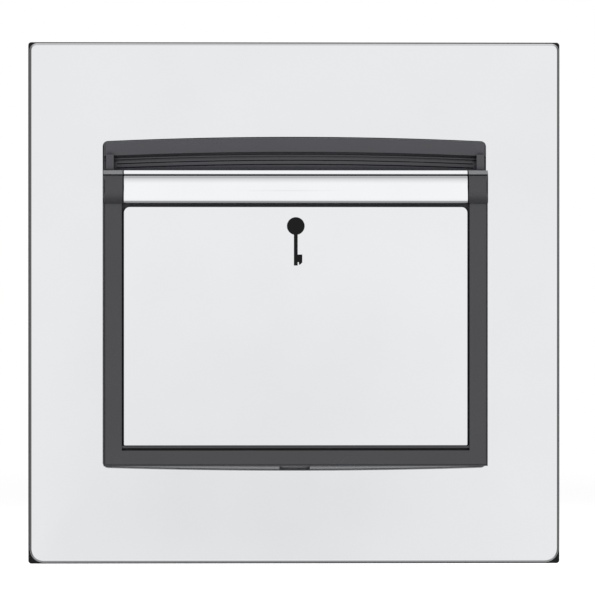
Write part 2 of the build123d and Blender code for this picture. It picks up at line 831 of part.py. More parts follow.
def pocket_cover():
    """The black moulding in front of the card: bars, skirts, front wall and rolled top."""
    body = outline_of(Polyline(
        (cover_front, -cover_bottom), (cover_front, roll_foot_height), (cover_inner, roll_foot_height),
        (cover_inner, cover_top), (cover_back, cover_top), (cover_back, -cover_bottom), close=True,
    ))
    cover = bar(body, -cover_half, cover_half)
    front_edges = cover.edges().filter_by_position(Axis.Y, cover_front, cover_front)
    upright = front_edges.filter_by(Axis.Z)
    foot = front_edges.filter_by(Axis.X).sort_by(Axis.Z)[:1]
    cover = fillet(upright + foot, cover_edge_radius)
    brow_back = cover_front - roll_head + brow_depth
    roll = outline_of(
        *front_profile(0),
        Polyline(
            (brow_back, cover_top), (cover_inner, cover_top), (cover_inner, roll_foot_height),
            (cover_front, roll_foot_height),
        ),
    )
    reach = cover_inner - cover_front + roll_bulge
    ends = Pos(0, cover_inner + overrun - (reach + overrun) / 2) * RectangleRounded(
        cover_width, reach + overrun, cover_edge_radius
    )
    ends = extrude(Plane(origin=(0, 0, roll_foot_height)) * ends, amount=roll_height + brow_height)
    cover += bar(roll, -cover_half, cover_half) & ends
    cover -= block(
        (-cover_inner_half, cover_inner, -cover_bottom + cover_skirt),
        (cover_inner_half, cover_back + overrun, cover_top + overrun),
    )
    mouth = outline_of(Polyline(
        (cover_inner, cover_top - mouth_height), (cover_inner, cover_top + overrun),
        (cover_inner - mouth_depth, cover_top + overrun), (cover_inner - mouth_depth, cover_top),
        close=True,
    ))
    cover -= bar(mouth, -channel_half, channel_half)
    half = fascia_width / 2
    seat = cover_front + fascia_seat
    cover -= block(
        (-half - fascia_gap, cover_front - overrun, fascia_foot), (half + fascia_gap, seat, roll_foot_height)
    )
    cover -= block(
        (-half - trim_end_gap, cover_front - 2 * roll_bulge, roll_foot_height),
        (half + trim_end_gap, cover_front + trim_seat, cover_top + overrun),
    )
    cover -= block(
        (-half - fascia_gap, cover_front - overrun, fascia_foot - ledge_height),
        (half + fascia_gap, cover_front + ledge_drop, fascia_foot),
    )
    groove_foot = fascia_foot - ledge_height - bottom_groove_height
    cover -= block(
        (-half - fascia_gap, cover_front - overrun, groove_foot),
        (half + fascia_gap, seat, fascia_foot - ledge_height),
    )
    crease = Polygon(
        (cover_front - roll_foot, roll_foot_height - crease_height / 2),
        (cover_front, roll_foot_height + crease_height / 2),
        (cover_front + crease_depth, roll_foot_height), align=None,
    )
    cover -= bar(crease, -cover_half - overrun, cover_half + overrun)
    window = Pos(0, key_middle) * Rectangle(lens_window_width, lens_window_height)
    cover -= slab(window, cover_inner + overrun, cover_front - overrun)
    flange = Pos(0, key_middle) * Rectangle(
        lens_window_width + 2 * lens_flange, lens_window_height + 2 * lens_flange
    )
    cover -= slab(flange, cover_inner + overrun, cover_inner - lens_flange_thickness)
    relief = nose_relief_margin + lever_nose_flat / 2
    tip = lever_pivot_z - lever_nose_drop
    cover -= block(
        (-lever_window_width / 2, cover_inner - nose_relief_depth, tip - 2 * relief),
        (lever_window_width / 2, cover_inner + overrun, tip + relief),
    )
    for side in (-1, 1):
        for z in (peg_upper_height, -peg_lower_height):
            cover += pin(side * peg_x, z, cover_inner + peg_length, cover_inner, peg_radius)
        x = side * glide_rib_spacing / 2
        cover += block(
            (x - glide_rib_width / 2, cover_inner, card_stop_height + glide_rib_end),
            (x + glide_rib_width / 2, cover_inner + glide_rib_height, glide_rib_top),
        )
    return cover


def lip_trim():
    """The chromed bar that carries the rolled top across between the side bars."""
    seat = cover_front + trim_seat
    brow_back = cover_front - roll_head + brow_depth
    outer = outline_of(
        *front_profile(0),
        Polyline(
            (brow_back, cover_top), (seat, cover_top),
            (seat, roll_foot_height), (cover_front, roll_foot_height)
        ),
    )
    return bar(outer, -fascia_width / 2, fascia_width / 2)


def key_outline(margin):
    """A plain key, bow upwards, grown by a margin."""
    bow_z = key_top - key_bow_radius
    foot = key_top - key_length
    half = key_stem_width / 2 + margin
    bow = Pos(0, bow_z) * Circle(key_bow_radius + margin)
    stem = Polygon(
        (-half, bow_z), (-half, foot - margin), (half, foot - margin), (half, bow_z), align=None
    )
    bit_foot = foot + key_bit_foot - margin
    bit_top = foot + key_bit_foot + key_bit_height + margin
    reach = key_stem_width / 2 + key_bit_reach + margin
    bit = Polygon(
        (0, bit_foot), (reach - key_bit_chamfer, bit_foot), (reach, bit_foot + key_bit_chamfer),
        (reach, bit_top), (0, bit_top), align=None,
    )
    notch_right = key_stem_width / 2 + key_notch_width - margin
    notch_top = foot + key_bit_foot + key_notch_height - margin
    notch = Polygon(
        (half, bit_foot), (notch_right, bit_foot), (notch_right, notch_top), (half, notch_top), align=None
    )
    return bow + stem + bit - notch


def fascia_plate():
    """Flat sheet set into the pocket's front, pierced with the key sign."""
    sheet = Pos(0, fascia_top - fascia_height / 2) * Rectangle(fascia_width, fascia_height)
    corners = sheet.vertices().group_by(Axis.Y)
    sheet = fillet(corners[-1], fascia_top_radius)
    sheet = fillet(sheet.vertices().group_by(Axis.Y)[0], fascia_bottom_radius)
    seat = cover_front + fascia_seat
    plate = slab(sheet, seat, seat - fascia_sheet)
    plate = fillet(plate.edges().group_by(Axis.Y)[0], fascia_edge_radius)
    return plate - slab(key_outline(0), seat + overrun, seat - fascia_sheet - overrun)


def key_lens():
    """Smoked lens: a flange behind the front wall, a block through it and the key in relief."""
    seat = cover_front + fascia_seat
    fit = 2 * running_gap
    window = Pos(0, key_middle) * Rectangle(lens_window_width - fit, lens_window_height - fit)
    flange = Pos(0, key_middle) * Rectangle(
        lens_window_width + 2 * lens_flange - fit, lens_window_height + 2 * lens_flange - fit
    )
    lens = slab(window, cover_inner - running_gap, seat)
    lens += slab(flange, cover_inner - running_gap, cover_inner - lens_flange_thickness)
    return lens + slab(key_outline(-lens_fit), seat, seat - fascia_sheet + lens_recess)


def light_pipe():
    """Clear block through the guide wall that narrows to a round end before the lamp."""
    face = Pos(0, key_middle) * Rectangle(pipe_width, pipe_height)
    flange = Pos(0, key_middle) * Rectangle(pipe_width + 2 * pipe_flange, pipe_height + 2 * pipe_flange)
    front = slab(face, guide_back, guide_face + running_gap)
    collar = slab(flange, guide_back + pipe_flange_thickness, guide_back)
    start = guide_back + pipe_flange_thickness
    taper = loft([
        depth_plane(start) * face,
        depth_plane(guide_face + pipe_length) * (Pos(0, key_middle) * Circle(pipe_back_radius)),
    ])
    return front + collar + taper


def rear_housing():
    """The box behind the frame: corner towers, board ledges and the bay for the terminal block."""
    outer = RectangleRounded(housing_width, housing_height, housing_corner_radius)
    inner = RectangleRounded(
        housing_width - 2 * housing_wall, housing_height - 2 * housing_wall, housing_corner_radius / 2
    )
    box = slab(outer, housing_back, 0)
    box = fillet(box.edges().group_by(Axis.Y)[-1], housing_wall / 2)
    box -= slab(inner, housing_inner_back, -overrun)
    for x, z in four_places(tower_spacing_x, tower_spacing_z):
        box += pin(x, z, housing_back - housing_wall, 0, tower_radius)
    inner_half = housing_width / 2 - housing_wall
    ledge = block(
        (inner_half - ledge_rib_width, board_back, -ledge_rib_length / 2),
        (inner_half, housing_inner_back, ledge_rib_length / 2),
    )
    box += mirrored(ledge)
    for side in (-1, 1):
        x = side * board_screw_spacing / 2
        box += pin(x, board_screw_z, housing_inner_back, board_back, board_post_radius)
        box -= pin(x, board_screw_z, board_back + board_screw_length, 0, board_screw_radius + thread_gap)
    for x, z in four_places(tower_spacing_x, tower_spacing_z):
        box -= pin(x, z, housing_back + overrun, tower_seat_depth, tower_well_radius)
        box -= pin(x, z, housing_back, -overrun, housing_screw_radius + seat_gap)
    for n in range(back_rib_count):
        z = back_rib_middle + (n - (back_rib_count - 1) / 2) * back_rib_pitch
        groove = Pos(0, z) * SlotOverall(back_rib_length, back_rib_width)
        box -= slab(groove, housing_back + overrun, housing_back - back_rib_height)
    bay_half = block_width / 2 + block_gap
    return box - block(
        (-bay_half, board_back, block_bottom - overrun),
        (bay_half, housing_back + overrun, block_top + block_gap),
    )


def housing_screws():
    """Four self-tapping screws from the back, through housing and frame into the guide."""
    sizes = (housing_head_radius, housing_head_height, housing_screw_radius, housing_screw_length)
    return [
        screw(Plane(origin=(x, tower_seat_depth, z), z_dir=(0, 1, 0)), *sizes)
        for x, z in four_places(tower_spacing_x, tower_spacing_z)
    ]


def terminal_x():
    return [(n - (terminal_count - 1) / 2) * terminal_pitch for n in range(terminal_count)]


def contact_terminals():
    """The depths of the faces of the snap switch's rear and front fixed contacts."""
    moving_back = blade_y + blade_thickness / 2 + contact_thickness
    rear_contact = moving_back + contact_travel + blade_gap
    front_contact = blade_y - blade_thickness / 2 - contact_thickness - blade_gap
    return rear_contact, front_contact


def lead_holes():
    """Every place where a lead or tail passes the board: X, Z, width and height of its hole."""
    round_hole = 2 * (lead_radius + lead_gap)
    holes = [(x, z, round_hole, round_hole) for x, z in lead_places()]
    tail = (cage_tail_width + 2 * lead_gap, cage_tail_thickness + 2 * lead_gap)
    holes += [(x, cage_z, *tail) for x in terminal_x()]
    sheet = (terminal_sheet + 2 * lead_gap, terminal_width + 2 * lead_gap)
    holes += [(x, switch_z, *sheet) for x in switch_terminal_x()]
    return holes


def switch_terminal_x():
    """X of the common, rear-contact and front-contact terminals of the snap switch."""
    inside_right = switch_right - switch_wall
    rear = blade_contact_x
    front = inside_right - terminal_sheet / 2 - running_gap
    common = blade_pivot_x - fork_wall - fork_gap
    return common, rear, front


def circuit_board():
    """Fibreglass board, notched for the corner towers and drilled for every lead."""
    sheet = Rectangle(2 * board_half_width, 2 * board_half_height)
    for x, z in four_places(2 * board_half_width, 2 * board_half_height):
        sheet -= Pos(x, z) * Rectangle(2 * board_notch, 2 * board_notch)
    for side in (-1, 1):
        x = side * board_screw_spacing / 2
        sheet -= Pos(x, board_screw_z) * Circle(board_screw_radius + lead_gap)
    for x, z, width, height in lead_holes():
        sheet -= Pos(x, z) * Rectangle(width, height)
    return slab(sheet, board_back, board_depth)


def board_screws():
    """Two screws that hold the board on its posts."""
    sizes = (board_head_radius, board_head_height, board_screw_radius, board_screw_length)
    return [
        screw(
            Plane(origin=(s * board_screw_spacing / 2, board_depth, board_screw_z), z_dir=(0, -1, 0)),
            *sizes,
        )
        for s in (-1, 1)
    ]


def pair(x, z, spacing):
    """Two leads side by side in X."""
    return [(x - spacing / 2, z), (x + spacing / 2, z)]


relay_leads = pair(0, relay_lead_z, relay_length * lead_spread_share)
mains_capacitor_leads = pair(mains_capacitor_x, mains_capacitor_z, mains_capacitor_length * lead_spread_share)
smoothing_capacitor_leads = pair(smoothing_capacitor_x, smoothing_capacitor_z, smoothing_capacitor_radius)
varistor_leads = pair(varistor_x, varistor_z, varistor_radius)
fuse_leads = pair(fuse_x, fuse_z, fuse_length * lead_spread_share)
resistor_places = [(resistor_x, resistor_z - n * resistor_pitch) for n in range(2)]
resistor_span = resistor_length + 2 * resistor_lead_reach
led_leads = pair(0, key_middle, led_lead_spacing)


def lead_places():
    """Middle of every round lead in the board."""
    places = relay_leads + mains_capacitor_leads + smoothing_capacitor_leads + varistor_leads
    places += fuse_leads + led_leads
    for x, z in resistor_places:
        places += pair(x, z, resistor_span)
    return places


def leads_behind(places):
    """Round leads from the back of the board to a little in front of it."""
    solid = Part()
    for x, z in places:
        solid += pin(x, z, board_back, board_depth - lead_stub, lead_radius)
    return solid


def boxed_part(x, z, length, width, height, radius, leads):
    """A sealed box that stands on the back of the board, with its leads."""
    body = slab(Pos(x, z) * RectangleRounded(length, width, radius), board_back + height, board_back)
    body = fillet(body.edges().group_by(Axis.Y)[-1], radius / 2)
    return body + leads_behind(leads)


def relay():
    sizes = (relay_length, relay_width, relay_height, relay_edge_radius)
    return boxed_part(0, relay_z, *sizes, relay_leads)


def mains_capacitor():
    sizes = (mains_capacitor_length, mains_capacitor_width, mains_capacitor_height, relay_edge_radius)
    return boxed_part(mains_capacitor_x, mains_capacitor_z, *sizes, mains_capacitor_leads)


def fuse():
    sizes = (fuse_length, fuse_width, fuse_height, relay_edge_radius)
    return boxed_part(fuse_x, fuse_z, *sizes, fuse_leads)


def smoothing_capacitor():
    """Round can with the rolled groove near its foot."""
    x, z = smoothing_capacitor_x, smoothing_capacitor_z
    can = pin(x, z, board_back + smoothing_capacitor_height, board_back, smoothing_capacitor_radius)
    can = fillet(can.edges().group_by(Axis.Y)[-1], smoothing_groove_radius)
    groove_depth = board_back + 4 * smoothing_groove_radius
    groove_path = smoothing_capacitor_radius + smoothing_groove_radius - smoothing_groove_depth
    groove = Torus(groove_path, smoothing_groove_radius)
    can -= Plane(origin=(x, groove_depth, z), z_dir=(0, 1, 0)) * groove
    return can + leads_behind(smoothing_capacitor_leads)


def varistor():
    """Dipped disc that stands on edge on its two leads."""
    middle = board_back + varistor_radius + lead_stub / 2
    disc = Cylinder(varistor_radius, varistor_thickness)
    disc = fillet(disc.edges(), varistor_edge_radius)
    solid = Pos(varistor_x, middle, varistor_z) * disc
    for x, z in varistor_leads:
        solid += pin(x, z, middle, board_depth - lead_stub, lead_radius)
    return solid


def resistors():
    """Two axial resistors with thicker ends and cranked leads."""
    solids = []
    for x, z in resistor_places:
        end = resistor_length * resistor_end_share
        y = board_back + resistor_end_radius
        left = x - resistor_length / 2
        body = cross_pin(y, z, left, left + resistor_length, resistor_radius)
        body += cross_pin(y, z, left, left + end, resistor_end_radius)
        body += cross_pin(y, z, left + resistor_length - end, left + resistor_length, resistor_end_radius)
        body += cross_pin(y, z, x - resistor_span / 2, x + resistor_span / 2, lead_radius)
        for lead_x, lead_z in pair(x, z, resistor_span):
            body += pin(lead_x, lead_z, y, board_depth - lead_stub, lead_radius)
            body += Pos(lead_x, y, lead_z) * Sphere(lead_radius)
        solids.append(body)
    return solids


def timer_chip():
    """Eight-legged timer circuit flat on the front of the board."""
    front = board_depth - chip_height
    body = block(
        (chip_x - chip_length / 2, front, chip_z - chip_width / 2),
        (chip_x + chip_length / 2, board_depth - chip_leg_thickness, chip_z + chip_width / 2),
    )
    notch_back = front + chip_leg_thickness
    body -= pin(chip_x - chip_length / 2, chip_z, notch_back, front - overrun, chip_notch_radius)
    for n in range(chip_legs_a_side):
        x = chip_x + (n - (chip_legs_a_side - 1) / 2) * chip_leg_pitch
        reach = chip_width / 2 + chip_leg_reach
        body += block(
            (x - chip_leg_width / 2, board_depth - 2 * chip_leg_thickness, chip_z - reach),
            (x + chip_leg_width / 2, board_depth, chip_z + reach),
        )
    return body


def led():
    """Round lamp with a domed end that faces the light pipe."""
    base = board_depth
    tip = base - led_length
    body = pin(0, key_middle, base, tip, led_radius)
    body += Pos(0, tip, key_middle) * Sphere(led_radius)
    body += pin(0, key_middle, base, base - led_rim_height, led_rim_radius)
    for x, z in led_leads:
        body += pin(x, z, board_back + lead_stub, base, lead_radius)
    return body


def switch_case():
    """The snap switch's box, open at the top where its lid goes."""
    front = switch_front
    low = (switch_left, front, switch_z - switch_width / 2)
    high = (switch_right, board_depth, switch_z + switch_width / 2 - switch_wall)
    case = block(low, high)
    case -= block(
        (low[0] + switch_wall, low[1] + switch_wall, low[2] + switch_wall),
        (high[0] - switch_wall, high[1] - switch_wall, high[2] + overrun),
    )
    plunger_hole = plunger_radius + running_gap
    case -= pin(switch_plunger_x, switch_z, front + 2 * switch_wall, front - overrun, plunger_hole)
    half_x, half_z = terminal_sheet / 2 + running_gap, terminal_width / 2 + running_gap
    for x in switch_terminal_x():
        case -= block(
            (x - half_x, board_depth - 2 * switch_wall, switch_z - half_z),
            (x + half_x, board_depth + overrun, switch_z + half_z),
        )
    return case


def switch_lid():
    top = switch_z + switch_width / 2
    return block((switch_left, switch_front, top - switch_wall), (switch_right, board_depth, top))


def switch_plunger():
    """The button: a rounded pin with a collar that keeps it in the case."""
    rest = blade_y - blade_thickness / 2 - blade_gap
    tip = switch_front - plunger_proud
    body = pin(switch_plunger_x, switch_z, rest, tip, plunger_radius)
    body = chamfer(body.edges(), plunger_bevel)
    collar_front = switch_front + switch_wall + running_gap
    return body + pin(
        switch_plunger_x, switch_z, collar_front + plunger_collar_height, collar_front, plunger_collar_radius
    )


def switch_blade():
    """The moving contact: a springy strip with a rolled end to turn on and a rivet through the other."""
    low_z = switch_z - blade_width / 2
    strip = block(
        (blade_pivot_x, blade_y - blade_thickness / 2, low_z),
        (blade_contact_x + contact_radius, blade_y + blade_thickness / 2, low_z + blade_width),
    )
    roll = Pos(blade_pivot_x, blade_y, switch_z) * Cylinder(blade_roll_radius, blade_width)
    reach = blade_thickness / 2 + contact_thickness
    rivet = pin(blade_contact_x, switch_z, blade_y + reach, blade_y - reach, contact_radius)
    return strip + roll + chamfer(rivet.edges(), contact_bevel)


def switch_terminals():
    """Common, rear-contact and front-contact terminals, bent from sheet."""
    common_x, rear_x, front_x = switch_terminal_x()
    rear_contact, front_contact = contact_terminals()
    foot = board_back
    low_z, high_z = switch_z - terminal_width / 2, switch_z + terminal_width / 2
    half = terminal_sheet / 2
    fork_half = blade_roll_radius + fork_gap
    common = block((common_x - half, blade_y, low_z), (common_x + half, foot, high_z))
    fork = block(
        (common_x - half, blade_y - fork_half - fork_wall, low_z),
        (blade_pivot_x + fork_depth / 2, blade_y + fork_half + fork_wall, high_z),
    )
    fork -= block(
        (blade_pivot_x - fork_depth / 2 - fork_gap, blade_y - fork_half, low_z - overrun),
        (blade_pivot_x + fork_depth, blade_y + fork_half, high_z + overrun),
    )
    rear = block((rear_x - half, rear_contact + contact_thickness, low_z), (rear_x + half, foot, high_z))
    rear += pin(rear_x, switch_z, rear_contact + contact_thickness, rear_contact, contact_radius)
    arm_back = front_contact - contact_thickness
    front = block((front_x - half, arm_back - terminal_sheet, low_z), (front_x + half, foot, high_z))
    front += block(
        (blade_contact_x - contact_radius, arm_back - terminal_sheet, low_z),
        (front_x + half, arm_back, high_z),
    )
    front += pin(blade_contact_x, switch_z, front_contact, arm_back, contact_radius)
    return common + fork, rear, front


def terminal_block():
    """Moulded block of cells: a cage bay open to the board, a wire entry below, a screw well behind."""
    body = block(
        (-block_width / 2, board_back, block_bottom), (block_width / 2, housing_back, block_top)
    )
    for x in terminal_x():
        body -= block(
            (x - cage_width / 2 - cage_gap, board_back - overrun, cage_z - cage_height / 2 - cage_gap),
            (x + cage_width / 2 + cage_gap, cage_back + cage_gap, cage_z + cage_height / 2 + cage_gap),
        )
        wire_middle = (cage_front + cage_back) / 2
        body -= block(
            (x - wire_entry_width / 2, wire_middle - wire_entry_depth / 2, block_bottom - overrun),
            (x + wire_entry_width / 2, wire_middle + wire_entry_depth / 2, cage_z),
        )
        body -= pin(x, cage_z, housing_back + overrun, cage_back, terminal_well_radius)
    return body


def terminal_cage(x):
    """Brass clamp: a square tube with a collar for the screw and a tail through the board."""
    low_z, high_z = cage_z - cage_height / 2, cage_z + cage_height / 2
    tube = block((x - cage_width / 2, cage_front, low_z), (x + cage_width / 2, cage_back, high_z))
    tube = fillet(tube.edges().filter_by(Axis.Z), cage_wall / 2)
    tube -= block(
        (x - cage_width / 2 + cage_wall, cage_front + cage_wall, low_z - overrun),
        (x + cage_width / 2 - cage_wall, cage_back - cage_wall, high_z + overrun),
    )
    tube += pin(x, cage_z, cage_back + cage_collar_height, cage_back - cage_wall, cage_collar_radius)
    tube -= pin(x, cage_z, cage_back + overrun, cage_back - 2 * cage_wall, terminal_screw_radius + thread_gap)
    tail = Pos(x, cage_z) * Rectangle(cage_tail_width, cage_tail_thickness)
    return tube + slab(tail, cage_front + cage_wall / 2, board_depth - lead_stub)


def terminal_screws():
    """Clamp screws, backed off so that the wire spaces are clear."""
    seat = cage_back - cage_wall + running_gap + terminal_screw_length
    sizes = (terminal_head_radius, terminal_head_height, terminal_screw_radius, terminal_screw_length)
    places = [Plane(origin=(x, seat, cage_z), z_dir=(0, 1, 0)) for x in terminal_x()]
    return [screw(place, *sizes, crossed=False) for place in places]


def earth_terminal():
    """Brass block under the frame's tab, with a hole for the wire and one for its screw."""
    left, front = earth_block_x - earth_block_width / 2, earth_block_stand_off
    body = block(
        (left, front, earth_block_top - earth_block_height),
        (left + earth_block_width, front + earth_block_depth, earth_block_top),
    )
    body = fillet(body.edges().filter_by(Axis.Z), earth_edge_radius)
    middle = front + earth_block_depth / 2
    wire = Cylinder(earth_wire_radius, earth_block_height + 2 * overrun)
    body -= Pos(earth_block_x, middle, earth_block_top - earth_block_height / 2) * wire
    return body - pin(
        earth_block_x, earth_block_top - earth_screw_drop, front + earth_block_depth + overrun, middle,
        earth_screw_radius + thread_gap,
    )


def earth_screw():
    middle = earth_block_stand_off + earth_block_depth / 2
    seat = middle + earth_wire_radius + running_gap + earth_screw_length
    place = Plane(origin=(earth_block_x, seat, earth_block_top - earth_screw_drop), z_dir=(0, 1, 0))
    sizes = (earth_head_radius, earth_head_height, earth_screw_radius, earth_screw_length)
    return screw(place, *sizes, crossed=False)


def all_nodes():
    """Every node's name and its solid or solids."""
    common, rear, front = switch_terminals()
    nodes = {
        "front_plate": front_plate(),
        "plate_clips": plate_clips(),
        "wall_gasket": wall_gasket(),
        "support_frame": support_frame(),
        "fixing_screws": fixing_screws(),
        "card_guide": card_guide(),
        "pocket_cover": pocket_cover(),
        "fascia_plate": fascia_plate(),
        "lip_trim": lip_trim(),
        "key_lens": key_lens(),
        "light_pipe": light_pipe(),
        "card_lever": card_lever(),
        "lever_pin": lever_pin(),
        "lever_spring": lever_spring(),
        "rear_housing": rear_housing(),
        "housing_screws": housing_screws(),
        "circuit_board": circuit_board(),
        "board_screws": board_screws(),
        "relay": relay(),
        "mains_capacitor": mains_capacitor(),
        "smoothing_capacitor": smoothing_capacitor(),
        "varistor": varistor(),
        "fuse": fuse(),
        "resistors": resistors(),
        "timer_chip": timer_chip(),
        "led": led(),
        "switch_case": switch_case(),
        "switch_lid": switch_lid(),
        "switch_plunger": switch_plunger(),
        "switch_blade": switch_blade(),
        "switch_common_terminal": common,
        "switch_rear_terminal": rear,
        "switch_front_terminal": front,
        "terminal_block": terminal_block(),
        "terminal_screws": terminal_screws(),
        "earth_terminal": earth_terminal(),
        "earth_screw": earth_screw(),
    }
    for n, x in enumerate(terminal_x(), start=1):
        nodes[f"terminal_cage_{n}"] = terminal_cage(x)
    return nodes


def main():
    os.makedirs("parts", exist_ok=True)
    for name, shape in all_nodes().items():
        solids = shape if isinstance(shape, list) else [shape]
        solids = [solid for piece in solids for solid in piece.solids()]
        export_step(Compound(children=solids), f"parts/{name}.step")
        print(name, len(solids))


if __name__ == "__main__":
    main()
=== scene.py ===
import json
from math import cos, pi, radians, sin, tau
from typing import NamedTuple

import bpy
import numpy as np
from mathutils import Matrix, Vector


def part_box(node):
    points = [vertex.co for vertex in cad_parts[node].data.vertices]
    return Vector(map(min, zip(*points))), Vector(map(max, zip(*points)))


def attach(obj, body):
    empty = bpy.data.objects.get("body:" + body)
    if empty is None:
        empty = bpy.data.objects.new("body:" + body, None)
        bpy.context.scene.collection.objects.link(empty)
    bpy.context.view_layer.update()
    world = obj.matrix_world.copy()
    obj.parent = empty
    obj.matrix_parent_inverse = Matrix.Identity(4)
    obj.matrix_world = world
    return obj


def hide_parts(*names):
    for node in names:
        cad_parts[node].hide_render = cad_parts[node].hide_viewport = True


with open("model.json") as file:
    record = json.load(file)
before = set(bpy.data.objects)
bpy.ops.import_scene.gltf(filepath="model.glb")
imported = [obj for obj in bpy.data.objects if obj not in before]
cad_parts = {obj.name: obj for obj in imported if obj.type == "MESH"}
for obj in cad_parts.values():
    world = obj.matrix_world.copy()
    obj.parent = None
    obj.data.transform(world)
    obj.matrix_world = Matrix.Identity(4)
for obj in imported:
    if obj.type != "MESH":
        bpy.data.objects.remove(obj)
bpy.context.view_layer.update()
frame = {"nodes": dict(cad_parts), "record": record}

bl_info = {
    "name": "Key card switch",
    "version": (1, 0, 0),
    "blender": (4, 5, 0),
    "location": "3D View > Sidebar > Card switch",
    "description": "Dresses the packed frame of a hotel key card switch and sets its stage",
    "category": "Object",
}

# Everything is in metres, in the frame's own axes: X to the right, Y into the wall, Z up.

MM = 0.001
NODES = frame["nodes"]
WHITE = (1.0, 1.0, 1.0, 1.0)


def linear(hex_colour):
    """An sRGB hex colour as linear light.

    Each part is taken over 255, then over 12.92 on the curve's straight foot, and by a power of 2.4
    above it.
    """
    parts = [int(hex_colour[start:start + 2], 16) / 255 for start in (1, 3, 5)]
    return tuple(
        part / 12.92 if part <= 0.04045 else ((part + 0.055) / 1.055) ** 2.4 for part in parts
    )


def opaque(hex_colour):
    """The same with full alpha, for a shader's colour socket."""
    return (*linear(hex_colour), 1.0)


def per(millimetres):
    """The scale that gives a pattern one period in that real length."""
    return 1 / (millimetres * MM)


# Sizes and colours that a user would change


def length(name, description, millimetres):
    return bpy.props.FloatProperty(
        name=name, description=description, default=millimetres * MM, min=0.0, precision=5,
        subtype="DISTANCE", unit="LENGTH",
    )


def share(name, description, value):
    return bpy.props.FloatProperty(
        name=name, description=description, default=value, min=0.0, max=1.0, subtype="FACTOR"
    )


def angle(name, description, in_degrees):
    return bpy.props.FloatProperty(
        name=name, description=description, default=radians(in_degrees), subtype="ANGLE",
        unit="ROTATION",
    )


def colour(name, description, hex_colour):
    return bpy.props.FloatVectorProperty(
        name=name, description=description, default=linear(hex_colour), size=3, min=0.0, max=1.0,
        subtype="COLOR",
    )


class CardSwitchPlateSizes(bpy.types.PropertyGroup):
    """Sizes of the pressed front plate."""

    sheet: length("Sheet", "Thickness of the plate's sheet", 1.0)
    upper_radius: length("Upper corners", "Radius of the two upper corners", 1.2)
    lower_radius: length("Lower corners", "Radius of the two lower corners", 2.3)
    edge_radius: length("Edge radius", "Where the face turns into the side", 0.5)
    rim_radius: length("Rim radius", "Where the side ends at the gasket", 0.12)
    opening_gap: length("Opening gap", "Play between the plate and the insert, all round", 0.05)
    top_bow: length("Top bow", "How far the opening's top rises to its middle", 0.7)
    foot_bow: length("Foot bow", "How far the opening's foot drops to its middle", 0.5)
    opening_radius: length("Opening radius", "Corners of the opening", 0.75)
    opening_edge: length("Opening edge", "Rounding of the opening's front edge at top and sides", 0.1)
    opening_foot_edge: length("Opening foot edge", "Rounding of that edge at the foot", 0.32)
    edge_hold: length("Edge hold", "Strip beside each rounding that keeps the face flat", 0.02)
    crown: length("Crown", "How far the face falls away from the opening to its outer edge", 0.05)


class CardSwitchTrimSizes(bpy.types.PropertyGroup):
    """Sizes of the chromed roll along the top of the pocket."""

    cover_drop: length("Cover drop", "How far the cover's face lies behind the fascia's", 0.1)
    roll_foot: length("Foot", "How far the roll stands out of the cover at its foot", 0.75)
    roll_head: length("Head", "How far it stands out at its top edge", 0.5)
    crown_share: share("Crown", "Where the roll is fullest, as a share of its height", 0.5)
    bend_share: share("Bend", "Sine of the roll's lean at its two long edges", 0.55)
    edge_radius: length("Edge radius", "Rounding of the roll's two long edges", 0.2)
    brow_height: length("Brow height", "Height of the band over the roll, with its groove", 0.9)
    brow_depth: length("Brow depth", "How far the band leans back to its top edge", 0.75)
    groove_height: length("Groove height", "Height of the dark groove under the band", 0.26)
    groove_depth: length("Groove depth", "Depth of that groove", 0.6)
    end_radius: length("End radius", "Rounding of the two ends", 0.15)


class CardSwitchScrewSizes(bpy.types.PropertyGroup):
    """Sizes that the screws share."""

    fixing_pitch: length("Fixing pitch", "Thread pitch of the two wall box screws", 0.6)
    moulding_pitch: length("Moulding pitch", "Thread pitch of screws cut into plastic", 0.9)
    terminal_pitch: length("Terminal pitch", "Thread pitch of the clamp screws", 0.5)
    thread_share: share("Thread depth", "Depth of the thread as a share of its pitch", 0.45)
    drive_share: share("Drive width", "Half width of the drive as a share of the head's radius", 0.16)
    drive_depth_share: share("Drive depth", "Its depth as a share of the head's height", 0.7)


class CardSwitchColours(bpy.types.PropertyGroup):
    """Colours of the finishes."""

    plate_chromium: colour("Plate chromium", "Plating on the front plate", "#E8E9EB")
    fascia_chromium: colour("Fascia chromium", "Plating on the fascia", "#EAEBED")
    bright_chromium: colour("Bright chromium", "Plating on the rolled trim", "#F3F4F6")
    black_moulding: colour("Black moulding", "Pocket cover", "#323237")
    # A painted highlight: the paler strip where the cover's top edge catches light from above
    brow_painted_highlight: colour("Rubbed brow", "Edge of the cover that cards have paled", "#7C7D80")
    # A painted highlight: the paler strip where the rim of the guide's foot catches light
    rim_painted_highlight: colour("Rubbed rim", "Rim of the guide's foot that cloths have paled", "#9C9DA0")
    # The cover's black made lighter as painted light, for the light that the guide's upward-facing
    # arch catches
    guide_black_painted_lighter: colour("Guide moulding", "Card guide", "#404046")
    smoked_lens: colour("Smoked lens", "Insert in the key sign", "#0B0B0C")
    foam: colour("Foam", "Gasket behind the plate", "#161617")
    zinc: colour("Zinc", "Plated steel sheet", "#BFC3C7")
    zinc_screw: colour("Zinc on screws", "Plated screws", "#C6C8C9")
    housing: colour("Housing", "Box behind the frame", "#242427")
    brass: colour("Brass", "Cages and earth block", "#C8A766")
    copper: colour("Copper alloy", "Moving contact", "#B87E5A")
    pale_moulding: colour("Pale moulding", "Terminal block", "#D5D5D0")
    acetal: colour("Acetal", "Card lever", "#EDEBE5")
    nylon: colour("Nylon", "Plate clips", "#DDD9CB")


